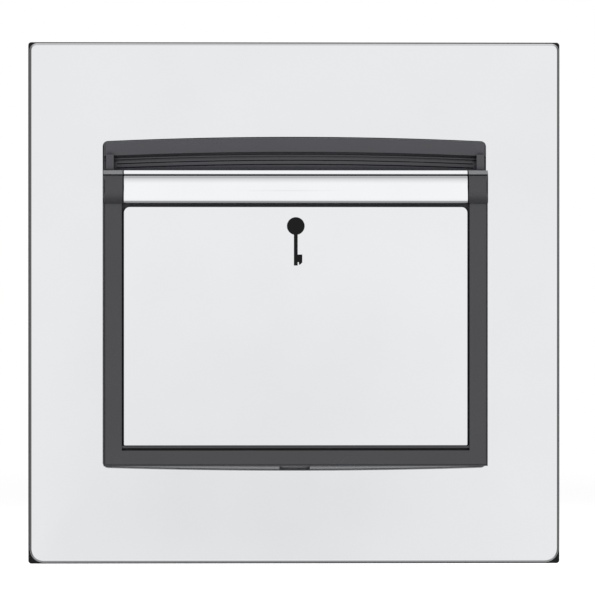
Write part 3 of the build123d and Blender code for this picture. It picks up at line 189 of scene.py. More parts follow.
class CardSwitchStageSettings(bpy.types.PropertyGroup):
    """Camera, floor and light."""

    distance: length("Camera distance", "From the camera to the plate's face", 900.0)
    azimuth: angle("Azimuth", "Turn of the camera round the object", -1.2)
    elevation: angle("Elevation", "Height of the camera over the object", 0.2)
    view_width: length("View width", "What the picture's width covers at the plate's face", 98.23)
    floor_drop: length("Floor drop", "From the plate's lower edge down to the floor", 40.0)
    floor_lift: share("Floor lift", "Light that the floor adds where it is seen straight", 0.3)
    fade_start: length("Fade start", "Where the floor starts to fade into the backdrop", 500.0)
    fade_end: length("Fade end", "Where it has become the backdrop", 1600.0)
    sky_light: share("Sky light", "Even light from all round on dull surfaces", 0.62)


# Meshes from arrays


def outward(points, faces):
    """The faces, turned round if they enclose a negative volume.

    The volume is a sixth of the sum, over all triangles, of each corner's triple product.
    """
    a, b, c, d = (points[faces[:, corner]] for corner in range(4))
    volume = np.einsum("ij,ij->", a, np.cross(b, c)) + np.einsum("ij,ij->", a, np.cross(c, d))
    return faces if volume > 0 else faces[:, ::-1]


def ring_faces(rings, count, closed):
    """Quads between neighbouring rings of a grid. If it is closed, the last ring joins the first."""
    corner = np.arange(rings * count).reshape(rings, count)
    lower = corner if closed else corner[:-1]
    upper = np.roll(corner, -1, axis=0) if closed else corner[1:]
    quads = np.stack((lower, np.roll(lower, -1, axis=1), np.roll(upper, -1, axis=1), upper), axis=-1)
    return quads.reshape(-1, 4)


def closed_with_poles(grid, first_pole, last_pole):
    """A grid of rings, closed by a fan round a pole at each end. A fan's faces repeat it."""
    rings, count, _ = grid.shape
    points = np.concatenate((grid.reshape(-1, 3), [first_pole, last_pole]))
    ring = np.arange(count)
    last = ring + (rings - 1) * count
    pole = np.full(count, rings * count)
    first_fan = np.stack((np.roll(ring, -1), ring, pole, pole), axis=-1)
    last_fan = np.stack((last, np.roll(last, -1), pole + 1, pole + 1), axis=-1)
    return points, np.concatenate((ring_faces(rings, count, False), first_fan, last_fan))


def add_piece(name, points, faces, body, slot, nodes, crease=35.0):
    """Puts the arrays into a mesh with its slot's finish, and ties it to the frame.

    It is smooth but for edges sharper than the crease, in degrees. A quad that repeats a corner, as
    in a fan, becomes a triangle.
    """
    faces = outward(points, faces)
    is_fan = faces[:, 2] == faces[:, 3]
    is_turned_fan = faces[:, 0] == faces[:, 1]
    whole = ~(is_fan | is_turned_fan)
    kinds = (faces[whole], faces[is_fan][:, :3], faces[is_turned_fan][:, 1:])
    mesh = bpy.data.meshes.new(name)
    mesh.from_pydata(points.tolist(), [], [face for kind in kinds for face in kind.tolist()])
    mesh.shade_smooth()
    mesh.set_sharp_from_angle(angle=radians(crease))
    mesh.materials.append(finish_of(slot))
    piece = bpy.data.objects.new(name, mesh)
    bpy.context.scene.collection.objects.link(piece)
    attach(piece, body)
    if nodes:
        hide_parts(*nodes)
    return piece


def corners_of(node):
    """Lowest and highest corner of a node at rest, as arrays."""
    return tuple(np.array(corner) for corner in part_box(node))


# Shader nodes


def add(tree, kind, settings=None, links=None):
    """Adds a node, sets its sockets and properties, and links sources into its sockets."""
    node = tree.nodes.new(kind)
    for key, value in (settings or {}).items():
        if isinstance(key, int) or key in node.inputs:
            node.inputs[key].default_value = value
        else:
            setattr(node, key, value)
    for key, source in (links or {}).items():
        tree.links.new(source, node.inputs[key])
    return node


def blank_finish(name):
    """An empty material with its output, and the object's own coordinates."""
    finish = bpy.data.materials.new(name)
    finish.use_nodes = True
    tree = finish.node_tree
    tree.nodes.clear()
    place = add(tree, "ShaderNodeTexCoord").outputs["Object"]
    return finish, tree, place


def close_finish(finish, settings, base, rough, normal, **more):
    """The finish, with its fixed values and its patterns in the surface shader and the output."""
    tree = finish.node_tree
    links = {"Base Color": base, "Roughness": rough, "Normal": normal, **more}
    surface = add(tree, "ShaderNodeBsdfPrincipled", settings, links)
    add(tree, "ShaderNodeOutputMaterial", links={"Surface": surface.outputs[0]})
    return finish


def cloud(tree, place, millimetres, detail=2.0, roughness=0.5):
    """Soft noise with features of that real size, from 0 to 1."""
    settings = {"Scale": per(millimetres), "Detail": detail, "Roughness": roughness}
    return add(tree, "ShaderNodeTexNoise", settings, {"Vector": place}).outputs[0]


def spread(tree, value, low, high, start=0.3, end=0.7):
    """A value that goes from low to high while the pattern goes from start to end."""
    settings = {"From Min": start, "From Max": end, "To Min": low, "To Max": high}
    return add(tree, "ShaderNodeMapRange", settings, {"Value": value}).outputs[0]


def tinted(tree, value, base, amount):
    """A colour that a pattern makes a little darker or lighter, by that share each way."""
    dark, light = (
        tuple(min(1.0, part * (1 + change)) for part in base) + (1.0,) for change in (-amount, amount)
    )
    settings = {"data_type": "RGBA", 6: dark, 7: light}
    return add(tree, "ShaderNodeMix", settings, {0: spread(tree, value, 0.0, 1.0)}).outputs[2]


def relief(tree, height, millimetres, strength=1.0):
    """Surface relief of that real depth from a pattern."""
    settings = {"Strength": strength, "Distance": millimetres * MM}
    return add(tree, "ShaderNodeBump", settings, {"Height": height}).outputs[0]


def stretched(tree, place, along):
    """Coordinates drawn out along an axis, for grain that runs that way."""
    return add(tree, "ShaderNodeMapping", {"Scale": along}, {"Vector": place}).outputs[0]


def masked(tree, place, axis, operation, limit):
    """1 where a coordinate is LESS_THAN or GREATER_THAN a limit, and 0 elsewhere."""
    value = add(tree, "ShaderNodeSeparateXYZ", links={0: place}).outputs[axis]
    return add(tree, "ShaderNodeMath", {"operation": operation, 1: limit}, {0: value}).outputs[0]


def set_stops(ramp, stops):
    """Gives a ramp node its stops, each a place from 0 to 1 and a colour, and returns its colour."""
    elements = ramp.color_ramp.elements
    for element, (position, value) in ((elements[0], stops[0]), (elements[1], stops[-1])):
        element.position, element.color = position, value
    for position, value in stops[1:-1]:
        elements.new(position).color = value
    return ramp.outputs[0]


# Finishes


def polished_chromium(name, base):
    """Bright chromium on buffed steel sheet.

    It mirrors nearly all the light, with a slightly blue white. Buffing leaves faint waves and a haze
    that comes and goes, so reflections waver a little.
    """
    finish, tree, place = blank_finish(name)
    buffing = cloud(tree, place, 7.0, 1.0)
    haze = cloud(tree, place, 16.0, 3.0)
    wipe = cloud(tree, stretched(tree, place, (0.15, 1.0, 1.0)), 1.2)
    rough = add(
        tree, "ShaderNodeMath", {"operation": "MULTIPLY_ADD", 1: 0.018},
        {0: wipe, 2: spread(tree, haze, 0.035, 0.06)},
    ).outputs[0]
    return close_finish(
        finish, {"Metallic": 1.0}, tinted(tree, haze, base, 0.012), rough,
        relief(tree, buffing, 0.0015),
    )


# Painted shade: the near-black colour that grooves and inner corners of the black mouldings take
PAINTED_GROOVE_SHADE = (0.002, 0.002, 0.002, 1.0)


def satin_abs(name, base, highlight_colour, highlight_start, highlight_end):
    """Black ABS, moulded against a finely blasted tool.

    Its gloss is satin, so broad soft reflections lie on the dark base, and fine pits break them up.
    The real pits are near 0.05 mm, which is too fine to show, so they are drawn at 0.22 mm. In
    grooves and inner corners, judged over 0.8 mm, the skin is duller, and its colour is mixed towards
    black as painted shade. From one given height to another the colour turns paler: a painted
    highlight.
    """
    finish, tree, place = blank_finish(name)
    pits = cloud(tree, place, 0.22, 2.0, 0.6)
    flow = cloud(tree, place, 9.0)
    corners = add(tree, "ShaderNodeAmbientOcclusion", {"samples": 8, "Distance": 0.8 * MM})
    open_share = corners.outputs["AO"]
    dull = spread(tree, open_share, 0.55, 0.0, 0.35, 0.9)
    rough = add(
        tree, "ShaderNodeMath", {"operation": "ADD", "use_clamp": True},
        {0: dull, 1: spread(tree, flow, 0.24, 0.29)},
    ).outputs[0]
    height = add(tree, "ShaderNodeSeparateXYZ", links={0: place}).outputs["Z"]
    # Paler skin from one height on: a painted highlight along an edge that catches light
    skin = add(
        tree, "ShaderNodeMix", {"data_type": "RGBA", 7: (*highlight_colour, 1.0)},
        {0: spread(tree, height, 0.0, 1.0, highlight_start, highlight_end), 6: tinted(tree, flow, base, 0.05)},
    ).outputs[2]
    # Painted shade: the colour goes towards black where the occlusion finds grooves and inner corners
    shaded = add(
        tree, "ShaderNodeMix", {"data_type": "RGBA", 6: PAINTED_GROOVE_SHADE}, {0: open_share, 7: skin}
    ).outputs[2]
    return close_finish(finish, {"IOR": 1.58}, shaded, rough, relief(tree, pits, 0.003))


def foam_rubber(name, base):
    """Closed-cell foam cut from sheet: dull, with cut cells of about 0.4 mm as small dimples."""
    finish, tree, place = blank_finish(name)
    cells = add(tree, "ShaderNodeTexVoronoi", {"Scale": per(0.4)}, {"Vector": place})
    dimples = cells.outputs["Distance"]
    return close_finish(
        finish, {"IOR": 1.5}, tinted(tree, cloud(tree, place, 3.0), base, 0.2),
        spread(tree, dimples, 0.82, 0.95), relief(tree, dimples, 0.08),
    )


def smoked_polycarbonate(name, base):
    """Tinted polycarbonate, matted against glare: nearly black, a weak sheen and faint flow lines."""
    finish, tree, place = blank_finish(name)
    flow = cloud(tree, stretched(tree, place, (1.0, 1.0, 0.3)), 2.0)
    return close_finish(
        finish, {"IOR": 1.585, "Specular IOR Level": 0.12}, tinted(tree, flow, base, 0.15),
        spread(tree, flow, 0.24, 0.32), relief(tree, flow, 0.002),
    )


def clear_polycarbonate(name):
    """Clear polycarbonate with a frosted light face: light passes and is softened by fine etching."""
    finish, tree, place = blank_finish(name)
    etching = cloud(tree, place, 0.3, 3.0)
    return close_finish(
        finish, {"IOR": 1.585, "Transmission Weight": 1.0},
        tinted(tree, etching, linear("#F1F4F5"), 0.02), spread(tree, etching, 0.12, 0.3),
        relief(tree, etching, 0.003),
    )


def zinc_plated_sheet(name, base):
    """Cold-rolled steel, zinc plated and passivated.

    Rolling leaves fine lines along X, the plating small crystals of about 1.4 mm that differ in
    brightness, and the passivation a faint blue and straw cast.
    """
    finish, tree, place = blank_finish(name)
    rolling = cloud(tree, stretched(tree, place, (0.04, 1.0, 1.0)), 0.25)
    crystals = add(tree, "ShaderNodeTexVoronoi", {"Scale": per(1.4)}, {"Vector": place})
    grey = add(tree, "ShaderNodeSeparateColor", links={0: crystals.outputs["Color"]}).outputs[0]
    cast = add(
        tree, "ShaderNodeMix", {"data_type": "RGBA", 6: opaque("#B9C2CC"), 7: opaque("#C9C4B4")},
        {0: spread(tree, cloud(tree, place, 14.0), 0.0, 1.0)},
    ).outputs[2]
    mixed = add(
        tree, "ShaderNodeMix", {"data_type": "RGBA", 0: 0.35},
        {6: tinted(tree, grey, base, 0.08), 7: cast},
    ).outputs[2]
    return close_finish(
        finish, {"Metallic": 1.0}, mixed, spread(tree, rolling, 0.27, 0.42),
        relief(tree, rolling, 0.003),
    )


def machined_metal(name, base, low, high, grain_mm, dulling):
    """A turned, drawn or ground metal: even shine, with tool grain and small dulled patches."""
    finish, tree, place = blank_finish(name)
    grain = cloud(tree, place, grain_mm, 2.0, 0.6)
    patches = cloud(tree, place, 3.5, 3.0)
    return close_finish(
        finish, {"Metallic": 1.0}, tinted(tree, patches, base, dulling),
        spread(tree, patches, low, high), relief(tree, grain, 0.002),
    )


def natural_polymer(name, base, depth_mm, low, high):
    """Uncoloured acetal or nylon: milky, because light goes in a little, with a waxy sheen."""
    finish, tree, place = blank_finish(name)
    flow = cloud(tree, place, 4.0)
    skin = cloud(tree, place, 0.35)
    milky = {
        "IOR": 1.48, "Subsurface Weight": 0.25, "Subsurface Scale": depth_mm * MM,
        "Subsurface Radius": (1.0, 0.8, 0.6),
    }
    return close_finish(
        finish, milky, tinted(tree, flow, base, 0.03), spread(tree, flow, low, high),
        relief(tree, skin, 0.003),
    )


def textured_polycarbonate(name, base, grain_mm, depth_mm):
    """Filled polycarbonate from an etched tool: a coarse leather-like grain with a dull sheen."""
    finish, tree, place = blank_finish(name)
    grain = cloud(tree, place, grain_mm, 3.0, 0.65)
    flow = cloud(tree, place, 12.0)
    return close_finish(
        finish, {"IOR": 1.58}, tinted(tree, flow, base, 0.08), spread(tree, grain, 0.48, 0.62),
        relief(tree, grain, depth_mm),
    )


TIN = opaque("#C9CBCD")
ALUMINIUM = opaque("#D2D4D6")
RESISTOR_BANDS = (
    (0.00, "#9DB7C4"), (0.16, "#6B3A1E"), (0.24, "#9DB7C4"), (0.34, "#101010"), (0.42, "#9DB7C4"),
    (0.52, "#A3201C"), (0.60, "#9DB7C4"), (0.78, "#B08A3A"), (0.86, "#9DB7C4"),
)


def coated(finish, settings, film, bare, metal, skin, low, high, depth_mm):
    """A film over a part whose leads or ends are bare metal. The skin wavers in shine and height."""
    tree = finish.node_tree
    base = add(tree, "ShaderNodeMix", {"data_type": "RGBA", 7: metal}, {0: bare, 6: film}).outputs[2]
    return close_finish(
        finish, settings, base, spread(tree, skin, low, high), relief(tree, skin, depth_mm),
        Metallic=bare,
    )


def leaded_case(name, base, low, high, lead_top):
    """A moulded or dipped electronic part: coloured and glossy, with tinned leads below lead_top."""
    finish, tree, place = blank_finish(name)
    skin = cloud(tree, place, 0.8)
    is_lead = masked(tree, place, "Y", "LESS_THAN", lead_top)
    film = tinted(tree, skin, base, 0.06)
    return coated(finish, {"IOR": 1.52}, film, is_lead, TIN, skin, low, high, 0.006)


def banded_resistor(name, middle, reach, lead_top):
    """Lacquered resistors: pale blue with colour bands across their length, and tinned leads."""
    finish, tree, place = blank_finish(name)
    skin = cloud(tree, place, 0.6)
    is_lead = masked(tree, place, "Y", "LESS_THAN", lead_top)
    along = add(tree, "ShaderNodeSeparateXYZ", links={0: place}).outputs["X"]
    way = spread(tree, along, 0.0, 1.0, middle - reach, middle + reach)
    ramp = add(tree, "ShaderNodeValToRGB", links={0: way})
    ramp.color_ramp.interpolation = "CONSTANT"
    bands = set_stops(ramp, [(position, opaque(band)) for position, band in RESISTOR_BANDS])
    return coated(finish, {"IOR": 1.5}, bands, is_lead, TIN, skin, 0.18, 0.3, 0.01)


def sleeved_can(name, base, can_top, lead_top):
    """An aluminium can in a shrunk sleeve: glossy dark film, with the bare can at its far end."""
    finish, tree, place = blank_finish(name)
    skin = cloud(tree, place, 1.0)
    is_end = masked(tree, place, "Y", "GREATER_THAN", can_top)
    is_lead = masked(tree, place, "Y", "LESS_THAN", lead_top)
    bare = add(tree, "ShaderNodeMath", {"operation": "MAXIMUM"}, {0: is_end, 1: is_lead}).outputs[0]
    film = tinted(tree, skin, base, 0.08)
    return coated(finish, {"IOR": 1.5}, film, bare, ALUMINIUM, skin, 0.2, 0.32, 0.006)


def masked_laminate(name):
    """Glass-fibre board under green solder mask.

    Copper under the mask shows as paler green tracks about 1.2 mm wide, and the cloth's weave of
    0.5 mm as a faint relief.
    """
    finish, tree, place = blank_finish(name)
    upright = {"Rotation": (pi / 2, 0.0, 0.0)}
    flat = add(tree, "ShaderNodeMapping", upright, {"Vector": place}).outputs[0]
    tracks = add(
        tree, "ShaderNodeTexBrick",
        {
            "Scale": 1.0, "Mortar Size": 0.6 * MM, "Brick Width": 6.4 * MM, "Row Height": 3.2 * MM,
            "Color1": (0, 0, 0, 1), "Color2": (0.2, 0.2, 0.2, 1), "Mortar": (1, 1, 1, 1),
        },
        {"Vector": flat},
    ).outputs[0]
    weave = add(tree, "ShaderNodeTexWave", {"Scale": per(0.5) / tau}, {"Vector": flat}).outputs[1]
    mask = add(
        tree, "ShaderNodeMix", {"data_type": "RGBA", 6: opaque("#155C34"), 7: opaque("#2E8A55")},
        {0: tracks},
    ).outputs[2]
    return close_finish(
        finish, {"IOR": 1.52}, mask, spread(tree, weave, 0.25, 0.34), relief(tree, weave, 0.006)
    )


LEAD_HEIGHT = 0.35 * MM  # of bare lead over the board
CAN_END = 0.4 * MM  # of bare can past its sleeve
RESISTOR_REACH = 3.1 * MM  # from a resistor's middle to the end of its bands
# Heights that bound painted highlights: paler strips along the cover's top edge and the guide's foot
BROW_HIGHLIGHT_DROP = 0.7 * MM  # down from the cover's top
RIM_HIGHLIGHT_RISE = 0.5 * MM  # up from the guide's foot
HIGHLIGHT_BLEND = 0.1 * MM  # over which the painted highlight sets in

# Each leaded part: the finish's name, its colour, and its lowest and highest roughness
LEADED_CASES = {
    "relay_case": ("blue relay case", "#1E5F9E", 0.28, 0.36),
    "capacitor_case": ("yellow film capacitor", "#D9B21E", 0.26, 0.36),
    "varistor_coating": ("blue dipped varistor", "#24549C", 0.2, 0.3),
    "fuse_case": ("black fuse case", "#1A1A1A", 0.35, 0.45),
    "chip_case": ("black epoxy package", "#191A1B", 0.5, 0.62),
    "lamp_lens": ("blue lamp epoxy", "#2C6FE0", 0.12, 0.2),
}


def finishes(colours):
    """One finish for each of the record's material slots."""
    lead_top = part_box("circuit_board")[1][1] + LEAD_HEIGHT
    resistor_low, resistor_high = corners_of("resistors")
    resistor_middle = (resistor_low[0] + resistor_high[0]) / 2
    can_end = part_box("smoothing_capacitor")[1][1] - CAN_END
    # Where the painted highlights along the cover's brow and the guide's rim set in
    brow_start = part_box("pocket_cover")[1][2] - BROW_HIGHLIGHT_DROP
    rim_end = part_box("card_guide")[0][2] + RIM_HIGHLIGHT_RISE
    cases = {
        slot: leaded_case(name, linear(hex_colour), low, high, lead_top)
        for slot, (name, hex_colour, low, high) in LEADED_CASES.items()
    }
    return cases | {
        "chromed_plate": polished_chromium("polished chromium plate", colours.plate_chromium),
        "chromed_fascia": polished_chromium("polished chromium fascia", colours.fascia_chromium),
        "chromed_trim": polished_chromium("polished chromium trim", colours.bright_chromium),
        "black_cover": satin_abs(
            "satin black cover", colours.black_moulding, colours.brow_painted_highlight,
            brow_start, brow_start + HIGHLIGHT_BLEND,
        ),
        "black_guide": satin_abs(
            "satin black guide", colours.guide_black_painted_lighter, colours.rim_painted_highlight,
            rim_end, rim_end - HIGHLIGHT_BLEND,
        ),
        "gasket_rubber": foam_rubber("closed-cell foam", colours.foam),
        "smoked_lens": smoked_polycarbonate("smoked polycarbonate", colours.smoked_lens),
        "clear_lens": clear_polycarbonate("clear polycarbonate"),
        "nylon": natural_polymer("natural nylon", colours.nylon, 1.2, 0.42, 0.52),
        "zinc_steel": zinc_plated_sheet("zinc-plated sheet", colours.zinc),
        "zinc_screw": machined_metal("zinc-plated screw", colours.zinc_screw, 0.24, 0.38, 0.15, 0.1),
        "acetal": natural_polymer("natural acetal", colours.acetal, 0.8, 0.30, 0.40),
        "steel_pin": machined_metal("ground steel", linear("#B7B9BB"), 0.18, 0.28, 0.1, 0.06),
        "spring_wire": machined_metal("drawn spring wire", linear("#8E9093"), 0.28, 0.4, 0.1, 0.12),
        "housing_plastic": textured_polycarbonate("textured housing", colours.housing, 0.45, 0.03),
        "board_laminate": masked_laminate("masked laminate"),
        "capacitor_can": sleeved_can("sleeved can", linear("#15171F"), can_end, lead_top),
        "resistor_coating": banded_resistor(
            "banded resistor", resistor_middle, RESISTOR_REACH, lead_top
        ),
        "switch_plastic": textured_polycarbonate("black switch case", linear("#1B1B1C"), 0.3, 0.01),
        "switch_lid_plastic": textured_polycarbonate(
            "black switch lid", linear("#1F1F20"), 0.3, 0.01
        ),
        "plunger_plastic": natural_polymer("red acetal", linear("#B3261E"), 0.3, 0.3, 0.38),
        "copper_alloy": machined_metal("copper alloy strip", colours.copper, 0.22, 0.34, 0.2, 0.1),
        "terminal_brass": machined_metal("plain brass", colours.brass, 0.24, 0.4, 0.25, 0.12),
        "terminal_plastic": textured_polycarbonate(
            "pale polyamide", colours.pale_moulding, 0.35, 0.012
        ),
        "terminal_screw_steel": machined_metal(
            "plated clamp screw", colours.zinc_screw, 0.22, 0.34, 0.15, 0.1
        ),
    }


def finish_of(slot):
    """The finish made for a material slot, made with all the others on the first call."""
    if not FINISHES:
        FINISHES.update(finishes(bpy.context.scene.card_switch_colours))
    return FINISHES[slot]


FINISHES = {}


# Front plate


CORNER_STEPS = 10
SIDE_STEPS = 14


def bowed_ring(half, top, foot, radii, bows, margins):
    """Points round a rectangle with round corners, whose top and foot are bowed, grown by margins.

    Corners are quarter circles. Along top and foot the height falls with the square of the distance
    from the middle. Radii and bows are for top and foot, margins for top with sides and for foot. The
    points run the same way and in the same numbers whatever the sizes are, so that two such rings can
    be joined.
    """
    half, top, foot = half + margins[0], top + margins[0], foot - margins[1]
    top_radius, foot_radius = radii[0] + margins[0], radii[1] + margins[0]
    turn = np.linspace(0, pi / 2, CORNER_STEPS)
    run = np.linspace(1, -1, SIDE_STEPS + 2)[1:-1]
    top_x, foot_x = half - top_radius, half - foot_radius
    high, low = top - bows[0] - top_radius, foot + bows[1] + foot_radius
    middle, reach = (high + low) / 2, (high - low) / 2
    corners = [
        np.column_stack((cx + radius * np.cos(start + turn), cz + radius * np.sin(start + turn)))
        for cx, cz, radius, start in (
            (top_x, high, top_radius, 0), (-top_x, high, top_radius, pi / 2),
            (-foot_x, low, foot_radius, pi), (foot_x, low, foot_radius, 3 * pi / 2),
        )
    ]
    side = np.full(SIDE_STEPS, half)
    top_run = np.column_stack((run * top_x, high + top_radius + bows[0] * (1 - run**2)))
    left_run = np.column_stack((-side, middle + run * reach))
    foot_run = np.column_stack((-run * foot_x, low - foot_radius - bows[1] * (1 - run**2)))
    right_run = np.column_stack((side, middle - run * reach))
    return np.concatenate(
        (corners[0], top_run, corners[1], left_run, corners[2], foot_run, corners[3], right_run)
    )


def plate_grid(sizes):
    """The plate's closed section, carried round from the opening's outline to the outer one.

    Each ring is the opening's outline grown by a margin, the outer outline shrunk by one, or a
    straight blend of both, at its own depth. From the opening outwards the face falls back with the
    square of the way, which gives it its slight crown.
    """
    low, high = corners_of("front_plate")
    insert_low, insert_high = corners_of("card_guide")
    half = np.array((high[0] - low[0], high[2] - low[2])) / 2
    face, rim = low[1], high[1]
    back = face + sizes.sheet
    gap, hold = sizes.opening_gap, sizes.edge_hold

    def opening(share_out, more=0.0):
        return bowed_ring(
            insert_high[0], insert_high[2], insert_low[2], (sizes.opening_radius,) * 2,
            (sizes.top_bow, sizes.foot_bow),
            [gap + share_out * edge + more for edge in (sizes.opening_edge, sizes.opening_foot_edge)],
        )

    def edge(margin):
        return bowed_ring(
            half[0], half[1], -half[1], (sizes.upper_radius, sizes.lower_radius), (0.0, 0.0),
            (margin, margin),
        )

    quarter = np.linspace(0, pi / 2, 7)
    small, large = sizes.opening_edge, sizes.edge_radius
    rings = [(opening(0), back)]
    rings += [(opening(1 - cos(a)), face + small * (1 - sin(a))) for a in quarter]
    inner, outer = opening(1, hold), edge(-large - hold)
    for way in np.linspace(0, 1, 12):
        rings.append((inner + (outer - inner) * way, face + sizes.crown * way**2))
    rings += [
        (edge(-large * (1 - sin(a))), face + sizes.crown + (large - sizes.crown) * (1 - cos(a)))
        for a in quarter
    ]
    rings += [(edge(0), rim - sizes.rim_radius), (edge(-sizes.rim_radius), rim)]
    rings += [(edge(-sizes.sheet), rim)]
    rings += [
        (edge(-sizes.sheet - large * (1 - cos(a))), back + large * (1 - sin(a))) for a in quarter[::2]
    ]
    return np.stack([
        np.column_stack((ring[:, 0], np.full(len(ring), depth), ring[:, 1])) for ring, depth in rings
    ])


class CARDSWITCH_OT_front_plate(bpy.types.Operator):
    """Build the pressed and chromed front plate"""

    bl_idname = "card_switch.front_plate"
    bl_label = "Front plate"

    def execute(self, context):
        grid = plate_grid(context.scene.card_switch_plate)
        rings, count, _ = grid.shape
        add_piece(
            "plate_shell", grid.reshape(-1, 3), ring_faces(rings, count, True), "plate",
            "chromed_plate", ["front_plate"],
        )
        return {"FINISHED"}


# Lip trim


BROW_LEAN = 0.15  # of the brow's depth, where the band's face starts
BEVEL_SHARE = 0.25  # of the edge radius, for the bevels of band and back
# The black bead in the trim's groove is painted shade that darkens the groove
SHADE_BEAD_SHARE = 0.35  # of the groove's depth, for half the bead's


def roll_section(sizes):
    """The trim's closed section in Y and Z.

    The roll's front is two arcs that meet upright at the crown: from there the reach falls by one
    less the root of one less the square of the way, scaled to end at the foot's and at the head's
    reach. Quarter circles round both long edges. A groove parts the roll from the band that leans
    back.
    """
    low, high = corners_of("lip_trim")
    face = corners_of("fascia_plate")[0][1] + sizes.cover_drop
    seat, foot, top = high[1], low[2], high[2]
    bulge = face - low[1]
    head = top - sizes.brow_height
    edge = sizes.edge_radius
    bevel = BEVEL_SHARE * edge
    crown = foot + (head - foot) * sizes.crown_share
    way = np.linspace(-1, 1, 33)
    fall = (1 - np.sqrt(1 - (sizes.bend_share * way) ** 2)) / (1 - cos(np.arcsin(sizes.bend_share)))
    fall = fall * (bulge - np.where(way < 0, sizes.roll_foot, sizes.roll_head))
    height = crown + np.where(way < 0, (crown - foot) * way, (head - crown) * way)
    inside = (height > foot + edge) & (height < head - edge)
    roll = np.column_stack((low[1] + fall, height))[inside]
    start, end = low[1] + fall[0], low[1] + fall[-1]
    turn = np.linspace(0, pi / 2, 6)[1:]
    back_by, in_by = edge * (1 - np.cos(turn)), edge * (1 - np.sin(turn))
    foot_edge = np.column_stack((start + back_by, foot + in_by))[::-1]
    head_edge = np.column_stack((end + back_by, head - in_by))
    groove_back = end + sizes.groove_depth
    brow_foot = end + BROW_LEAN * sizes.brow_depth
    brow_back = end + sizes.brow_depth
    brow_low = head + sizes.groove_height
    back = np.array([
        (groove_back, head),
        (groove_back, brow_low),
        (brow_foot + bevel, brow_low),
        (brow_foot, brow_low + bevel),
        (brow_back - bevel, top - bevel),
        (brow_back + bevel / 2, top),
        (seat - bevel, top),
        (seat, top - bevel),
        (seat, foot + bevel),
        (seat - bevel, foot),
    ])
    return np.concatenate((foot_edge, roll, head_edge, back))


def carried_along(along, rings):
    """Rings of points in Y and Z, set at places along X."""
    grid = np.empty((len(along), rings.shape[-2], 3))
    grid[:, :, 0] = along[:, None]
    grid[:, :, 1:] = rings
    return grid


def trim_grid(sizes):
    """The section carried along X. Its ends shrink towards its middle on a quarter circle."""
    section = roll_section(sizes)
    low, high = corners_of("lip_trim")
    middle = section.mean(axis=0)
    quarter = np.linspace(0, pi / 2, 5)
    inset = sizes.end_radius * (1 - np.sin(quarter))
    inset = np.concatenate((inset, inset[::-1]))
    rounding = sizes.end_radius * (1 - np.cos(quarter))
    along = np.concatenate((low[0] + rounding, high[0] - rounding[::-1]))
    towards = section - middle
    shrink = 1 - inset[:, None] / np.linalg.norm(towards, axis=1)[None, :]
    return carried_along(along, middle + towards[None] * shrink[:, :, None]), middle


def shade_bead_grid(sizes):
    """The black bead at the back of the trim's groove, put there as painted shade: an ellipse in Y
    and Z, carried along X.
    """
    low, high = corners_of("lip_trim")
    head = high[2] - sizes.brow_height
    start = corners_of("fascia_plate")[0][1] + sizes.cover_drop - sizes.roll_head
    reach = np.array((SHADE_BEAD_SHARE * sizes.groove_depth, sizes.groove_height / 2))
    middle = np.array((start + sizes.groove_depth - reach[0], head + reach[1]))
    turn = np.linspace(0, tau, 17)[:-1]
    ring = middle + reach * np.column_stack((np.cos(turn), np.sin(turn)))
    inset = sizes.end_radius / 2
    return carried_along(np.array((low[0] + inset, high[0] - inset)), ring), middle


class CARDSWITCH_OT_lip_trim(bpy.types.Operator):
    """Build the chromed roll along the top of the pocket, with a black bead in its groove as painted
    shade
    """

    bl_idname = "card_switch.lip_trim"
    bl_label = "Lip trim"

    def execute(self, context):
        for name, slot, grid_of, nodes in (
            ("trim_roll", "chromed_trim", trim_grid, ["lip_trim"]),
            # A black bead laid in the groove as painted shade
            ("groove_shade_bead", "black_cover", shade_bead_grid, []),
        ):
            grid, middle = grid_of(context.scene.card_switch_trim)
            poles = [(grid[end, 0, 0], *middle) for end in (0, -1)]
            add_piece(name, *closed_with_poles(grid, *poles), "cover", slot, nodes)
        return {"FINISHED"}


# Screws


class ScrewKind(NamedTuple):
    """Screws that are alike. Lengths are in millimetres."""

    piece: str
    node: str
    slot: str
    pitch: str  # which of the screws' sizes it is
    head_radius: float
    head_height: float
    shank_radius: float
    columns: int
    rows: int
    faces_room: bool
    crossed: bool = True
    neck_radius: float = 0.0
    neck_length: float = 0.0


SCREW_KINDS = (
    ScrewKind(
        "wall_box_screws", "fixing_screws", "zinc_screw", "fixing_pitch", head_radius=3.3,
        head_height=1.6, shank_radius=1.75, columns=2, rows=1, faces_room=True,
        neck_radius=1.38, neck_length=1.2,
    ),
    ScrewKind(
        "rear_screws", "housing_screws", "zinc_screw", "moulding_pitch", head_radius=2.2,
        head_height=1.6, shank_radius=1.15, columns=2, rows=2, faces_room=False,
    ),
    ScrewKind(
        "laminate_screws", "board_screws", "zinc_screw", "moulding_pitch", head_radius=1.7,
        head_height=1.1, shank_radius=0.9, columns=2, rows=1, faces_room=True,
    ),
    ScrewKind(
        "terminal_clamp_screws", "terminal_screws", "terminal_screw_steel", "terminal_pitch",
        head_radius=2.7, head_height=2.0, shank_radius=1.7, columns=3, rows=1, faces_room=False,
        crossed=False,
    ),
    ScrewKind(
        "earth_clamp_screw", "earth_screw", "terminal_screw_steel", "terminal_pitch",
        head_radius=2.4, head_height=1.8, shank_radius=1.5, columns=1, rows=1, faces_room=False,
        crossed=False,
    ),
)

